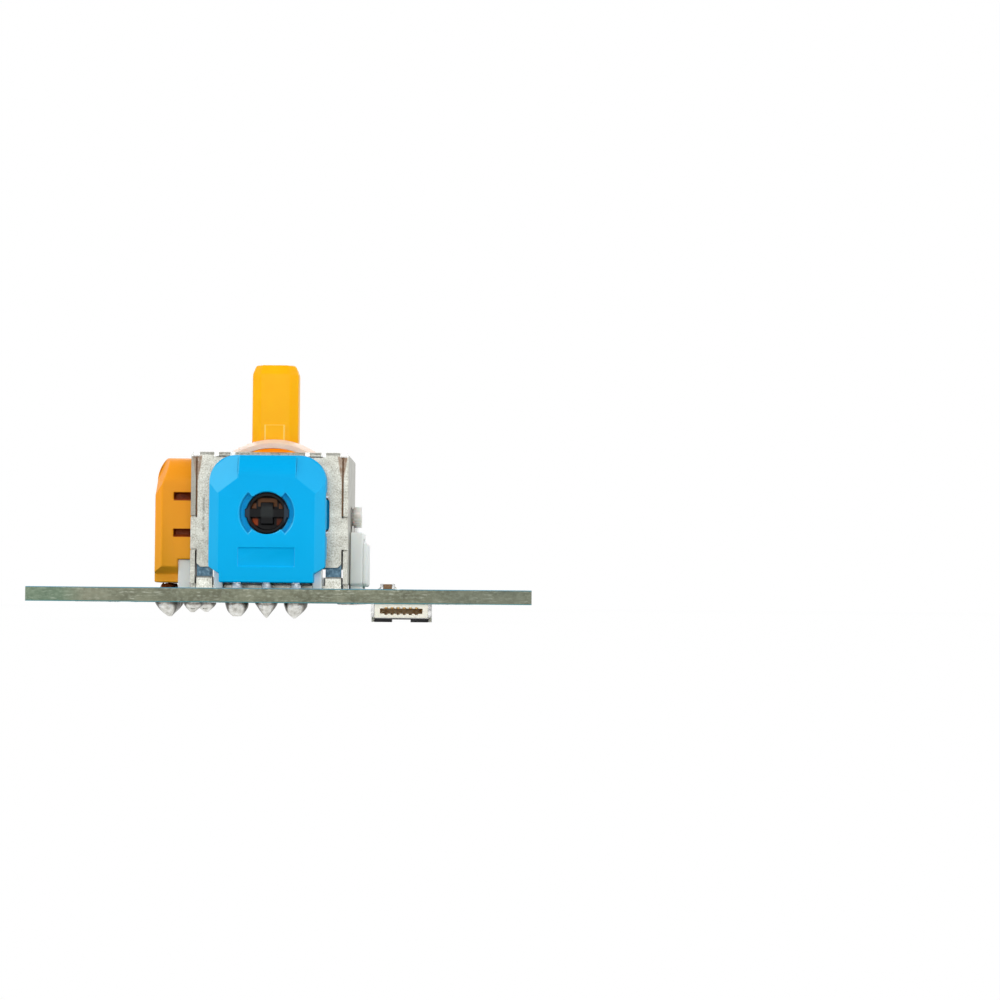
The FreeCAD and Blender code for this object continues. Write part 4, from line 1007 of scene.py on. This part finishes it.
def seam_oxide():
    work = bmesh.new()
    for side in (-1, 1):
        rows = []
        for step in range(STRIP_STEPS + 1):
            z = SEAM_FOOT + (FOLD_Z - SEAM_FOOT) * step / STRIP_STEPS
            half = SEAM_HALF * random.uniform(0.72, 1.0)
            middle = side * SEAM_X + random.uniform(-0.01, 0.01)
            depth = FRONT_Y + 0.10 + random.uniform(0.0, 0.05)
            back = depth + STRIP_DEPTH
            corners = [(middle - half, depth), (middle + half, depth), (middle + half, back),
                       (middle - half, back)]
            rows.append([work.verts.new(Vector((x, y, z)) * MM) for x, y in corners])
        for low, high in zip(rows, rows[1:]):
            join_rings(work, low, high)
        work.faces.new(rows[0])
        work.faces.new(rows[-1])
    finish_lumps(work, "seam_oxide_strips", RUST)


seam_oxide()
print("seam strips made")


# %% [markdown]
# ## Corner tabs
# The front and rear walls come to an almost square corner at the bottom, where a small tab of the
# same sheet reaches down beside the base plate. A flat outline with thickness is a prism, so one
# helper makes the tabs here and the board's tracks further on.

# %% Corner tabs of the cover
SHEET = 0.4
WALL_HALF = 6.2
WALL_BOTTOM = 1.86
CORNER_CUT = 1.1
CORNER_LEFT = 0.3


def prism(work, outline, lift):
    """A closed prism from an outline in millimetres, swept by the vector lift."""
    near = [work.verts.new(Vector(spot) * MM) for spot in outline]
    far = [work.verts.new((Vector(spot) + Vector(lift)) * MM) for spot in outline]
    join_rings(work, near, far)
    work.faces.new(near)
    work.faces.new(far)


def corner_tabs():
    work = bmesh.new()
    for side in (-1, 1):
        for start, sweep in ((FRONT_Y, SHEET), (-FRONT_Y, -SHEET)):
            shape = [(WALL_HALF - CORNER_CUT, WALL_BOTTOM), (WALL_HALF - CORNER_LEFT, WALL_BOTTOM),
                     (WALL_HALF, WALL_BOTTOM + CORNER_LEFT), (WALL_HALF, WALL_BOTTOM + CORNER_CUT)]
            prism(work, [(side * x, start, z) for x, z in shape], (0, sweep, 0))
    finish_lumps(work, "cover_corner_tabs", TINNED)


corner_tabs()
print("corner tabs: 4")


# %% [markdown]
# ## Pads on the board
# Every hole in a board has a ring of tinned copper round it. They are thin, but from above and
# below they are what makes a board look like one. A ring is a short tube of four closed loops.

# %% Pads
PAD_RISE = 0.03
PAD_FACES = ((0.0, PAD_RISE), (BOARD_LOW.z - PAD_RISE, BOARD_LOW.z))
SCREW_X = 15.5
SCREW_RING = (1.12, 2.0)
LEAD_RING = (0.46, 0.9)


def ring_pad(work, x, y, inner, outer, low, high):
    loops = []
    for radius, z in ((inner, low), (outer, low), (outer, high), (inner, high)):
        corners = []
        for side in range(RING_SIDES):
            turn = 2 * math.pi * side / RING_SIDES
            spot = Vector((x + radius * math.cos(turn), y + radius * math.sin(turn), z))
            corners.append(work.verts.new(spot * MM))
        loops.append(corners)
    for first, second in zip(loops, loops[1:] + loops[:1]):
        join_rings(work, first, second)


def pads():
    work = bmesh.new()
    for face in PAD_FACES:
        for side in (-1, 1):
            ring_pad(work, side * SCREW_X, 0.0, *SCREW_RING, *face)
    for index in range(3):
        offset = (index - 1) * LEAD_PITCH
        ring_pad(work, offset, -LEAD_REACH, *LEAD_RING, *PAD_FACES[0])
        ring_pad(work, -LEAD_REACH, offset, *LEAD_RING, *PAD_FACES[0])
    finish_lumps(work, "board_pads", TINNED_LEAD)


pads()
print("pads made")


# %% [markdown]
# ## Tracks
# The tracks run in straight lines and eighth turns, as boards are routed, from the sensors' leads
# and the switch to the connector underneath. Each piece of a track is a thin bar that is a little
# longer than the way it goes, so that the corners close, and every other bar is a hair lower, so
# that no two faces lie in one plane. A via, a plated hole, ends some of them.

# %% Tracks on both faces
TRACK_HALF = 0.18
TRACK_RISE = 0.02
TRACK_STEP = 0.004
VIA_RING = (0.14, 0.32)
TOP_ROUTES = [
    [(-2.5, -9.2), (-2.5, -10.8), (-1.3, -12.0), (9.7, -12.0)],
    [(0.0, -9.2), (0.0, -10.2), (1.0, -11.2), (13.0, -11.2), (14.6, -9.6), (14.6, -5.0)],
    [(2.5, -9.2), (3.7, -10.4), (12.6, -10.4), (13.8, -9.2), (13.8, 2.0), (12.6, 3.2)],
    [(11.1, -12.0), (14.0, -12.0), (16.2, -9.8), (16.2, -6.0)],
    [(-9.2, -2.5), (-10.6, -3.9), (-10.6, -8.0), (-7.1, -11.5), (-4.0, -11.5)],
    [(-9.2, 0.0), (-11.6, 0.0), (-11.6, -8.6), (-7.4, -12.8), (-4.0, -12.8)],
    [(-9.2, 2.5), (-10.8, 4.1), (-10.8, 6.3), (-8.2, 8.9), (8.0, 8.9), (10.6, 6.3), (10.6, 2.0)],
    [(-12.6, 2.0), (-12.6, 6.8), (-9.7, 9.7), (9.0, 9.7), (11.8, 6.9), (11.8, 2.0)],
]
LOW_ROUTES = [
    [(10.40, -13.3), (10.40, -11.7), (7.90, -9.2), (2.5, -9.2)],
    [(10.90, -13.3), (10.90, -6.1), (7.35, -2.55)],
    [(11.40, -13.3), (11.40, -1.5), (7.35, 2.55)],
    [(11.90, -13.3), (11.90, 3.4), (7.20, 8.1), (-7.4, 8.1), (-9.2, 6.3), (-9.2, 2.5)],
    [(12.40, -13.3), (12.40, 3.9), (7.40, 8.9), (-8.5, 8.9), (-10.6, 6.8), (-10.6, 1.4), (-9.2, 0.0)],
    [(12.90, -13.3), (12.90, 4.4), (7.60, 9.7), (-9.4, 9.7), (-12.0, 7.1), (-12.0, 0.3), (-9.2, -2.5)],
]
VIAS = [(14.6, -5.0), (12.6, 3.2), (16.2, -6.0), (-4.0, -11.5), (-4.0, -12.8), (10.6, 2.0), (11.8, 2.0),
        (-12.6, 2.0)]


def lay_route(work, route, level):
    for index, (start, end) in enumerate(zip(route, route[1:])):
        rise = TRACK_RISE - TRACK_STEP * (index % 2)
        way = Vector(end) - Vector(start)
        ahead = way.normalized() * TRACK_HALF
        across = Vector((-ahead.y, ahead.x))
        corners = [Vector(start) - ahead - across, Vector(end) + ahead - across,
                   Vector(end) + ahead + across, Vector(start) - ahead + across]
        start_level = level if level == 0.0 else level - rise
        prism(work, [(*corner, start_level) for corner in corners], (0, 0, rise))


def tracks():
    work = bmesh.new()
    for route in TOP_ROUTES:
        lay_route(work, route, 0.0)
    for route in LOW_ROUTES:
        lay_route(work, route, BOARD_LOW.z)
    finish_lumps(work, "board_tracks", TRACK)
    rings = bmesh.new()
    for x, y in VIAS:
        for face in PAD_FACES:
            ring_pad(rings, x, y, *VIA_RING, *face)
    finish_lumps(rings, "board_vias", TINNED_LEAD)


tracks()
print("routes:", len(TOP_ROUTES) + len(LOW_ROUTES), "vias:", len(VIAS))


# %% [markdown]
# ## Floor, backdrop and light
# The photograph stands on pure white with almost no shadow. Turning the lamps up would bleach
# the object, so the white comes from the Light Path node instead: rays that come straight from
# the camera, or by way of a mirror, see white, while the object is lit by a softer room.

# %% Floor
FLOOR_HALF = 1500
FLOOR_GAP = 0.01
FLOOR_WHITE = 0.99


def white_for_camera(finish, shader, share, kind="ShaderNodeEmission"):
    """Mixes a white that only camera, glossy and transmitted rays see into a shader."""
    seen = finish.node("ShaderNodeLightPath", {}, {}, "Is Camera Ray")
    glossy = finish.node("ShaderNodeLightPath", {}, {}, "Is Glossy Ray")
    through = finish.node("ShaderNodeLightPath", {}, {}, "Is Transmission Ray")
    white = finish.node(kind, {}, {"Color": (1.0, 1.0, 1.0), "Strength": 1.0})
    factor = (seen + glossy + through).clipped() * share
    return finish.node("ShaderNodeMixShader", {}, {0: factor, 1: shader, 2: white})


def make_floor():
    finish = Finish("studio_floor")
    pale = finish.blend(finish.noise(40.0, 2.0), (0.86, 0.86, 0.86), (0.90, 0.90, 0.90))
    matte = finish.node("ShaderNodeBsdfPrincipled", {}, {"Base Color": pale, "Roughness": 0.8})
    finish.node_out(white_for_camera(finish, matte, FLOOR_WHITE))
    mesh = bpy.data.meshes.new("studio_floor")
    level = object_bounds()[0].z - FLOOR_GAP * MM
    turns = ((-1, -1), (1, -1), (1, 1), (-1, 1))
    corners = [(x * FLOOR_HALF * MM, y * FLOOR_HALF * MM, level) for x, y in turns]
    mesh.from_pydata(corners, [], [(0, 1, 2, 3)])
    mesh.materials.append(finish.holder)
    floor = bpy.data.objects.new("studio_floor", mesh)
    bpy.context.scene.collection.objects.link(floor)
    floor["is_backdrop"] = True
    return floor


floor = make_floor()
print("floor at", round(floor.data.vertices[0].co.z / MM, 2), "mm")


# %% [markdown]
# The room is an even white tent, as product photographers use. Two soft boxes stand at the sides,
# so that slanting edges that face left or right come out a little lighter than the front. One far
# in front keeps the dark gaps readable, and one behind lights the rear. Finish builds the world
# too, because a world is a graph of nodes, as a material is.

# %% World and lamps
ROOM_LIGHT = 0.47
LAMPS = {
    "left_softbox": ((-320, -120, 190), 220, 0.52),
    "right_softbox": ((320, -120, 190), 220, 0.46),
    "front_softbox": ((20, -380, 25), 260, 0.60),
    "rear_softbox": ((0, 350, 200), 260, 0.36),
}


def make_world():
    finish = Finish("studio", bpy.data.worlds)
    room = finish.node("ShaderNodeBackground", {}, {"Color": (1.0, 1.0, 1.0), "Strength": ROOM_LIGHT})
    lit = white_for_camera(finish, room, 1.0, "ShaderNodeBackground")
    finish.node_out(lit, "ShaderNodeOutputWorld")
    bpy.context.scene.world = finish.holder


def make_lamp(name, place_mm, size_mm, power):
    """A square soft box, with its place and width in millimetres and its power in watts."""
    data = bpy.data.lights.new(name, "AREA")
    data.shape = "SQUARE"
    data.size = size_mm * MM
    data.energy = power
    lamp = bpy.data.objects.new(name, data)
    lamp.location = Vector(place_mm) * MM
    toward = (Vector((0, 0, AXIS_HEIGHT)) - Vector(place_mm)).normalized()
    lamp.rotation_mode = "QUATERNION"
    lamp.rotation_quaternion = toward.to_track_quat("-Z", "Y")
    bpy.context.scene.collection.objects.link(lamp)


make_world()
for name, (place_mm, size_mm, power) in LAMPS.items():
    make_lamp(name, place_mm, size_mm, power)
bpy.context.scene.view_settings.view_transform = "Standard"
print("lamps:", len(bpy.data.lights))
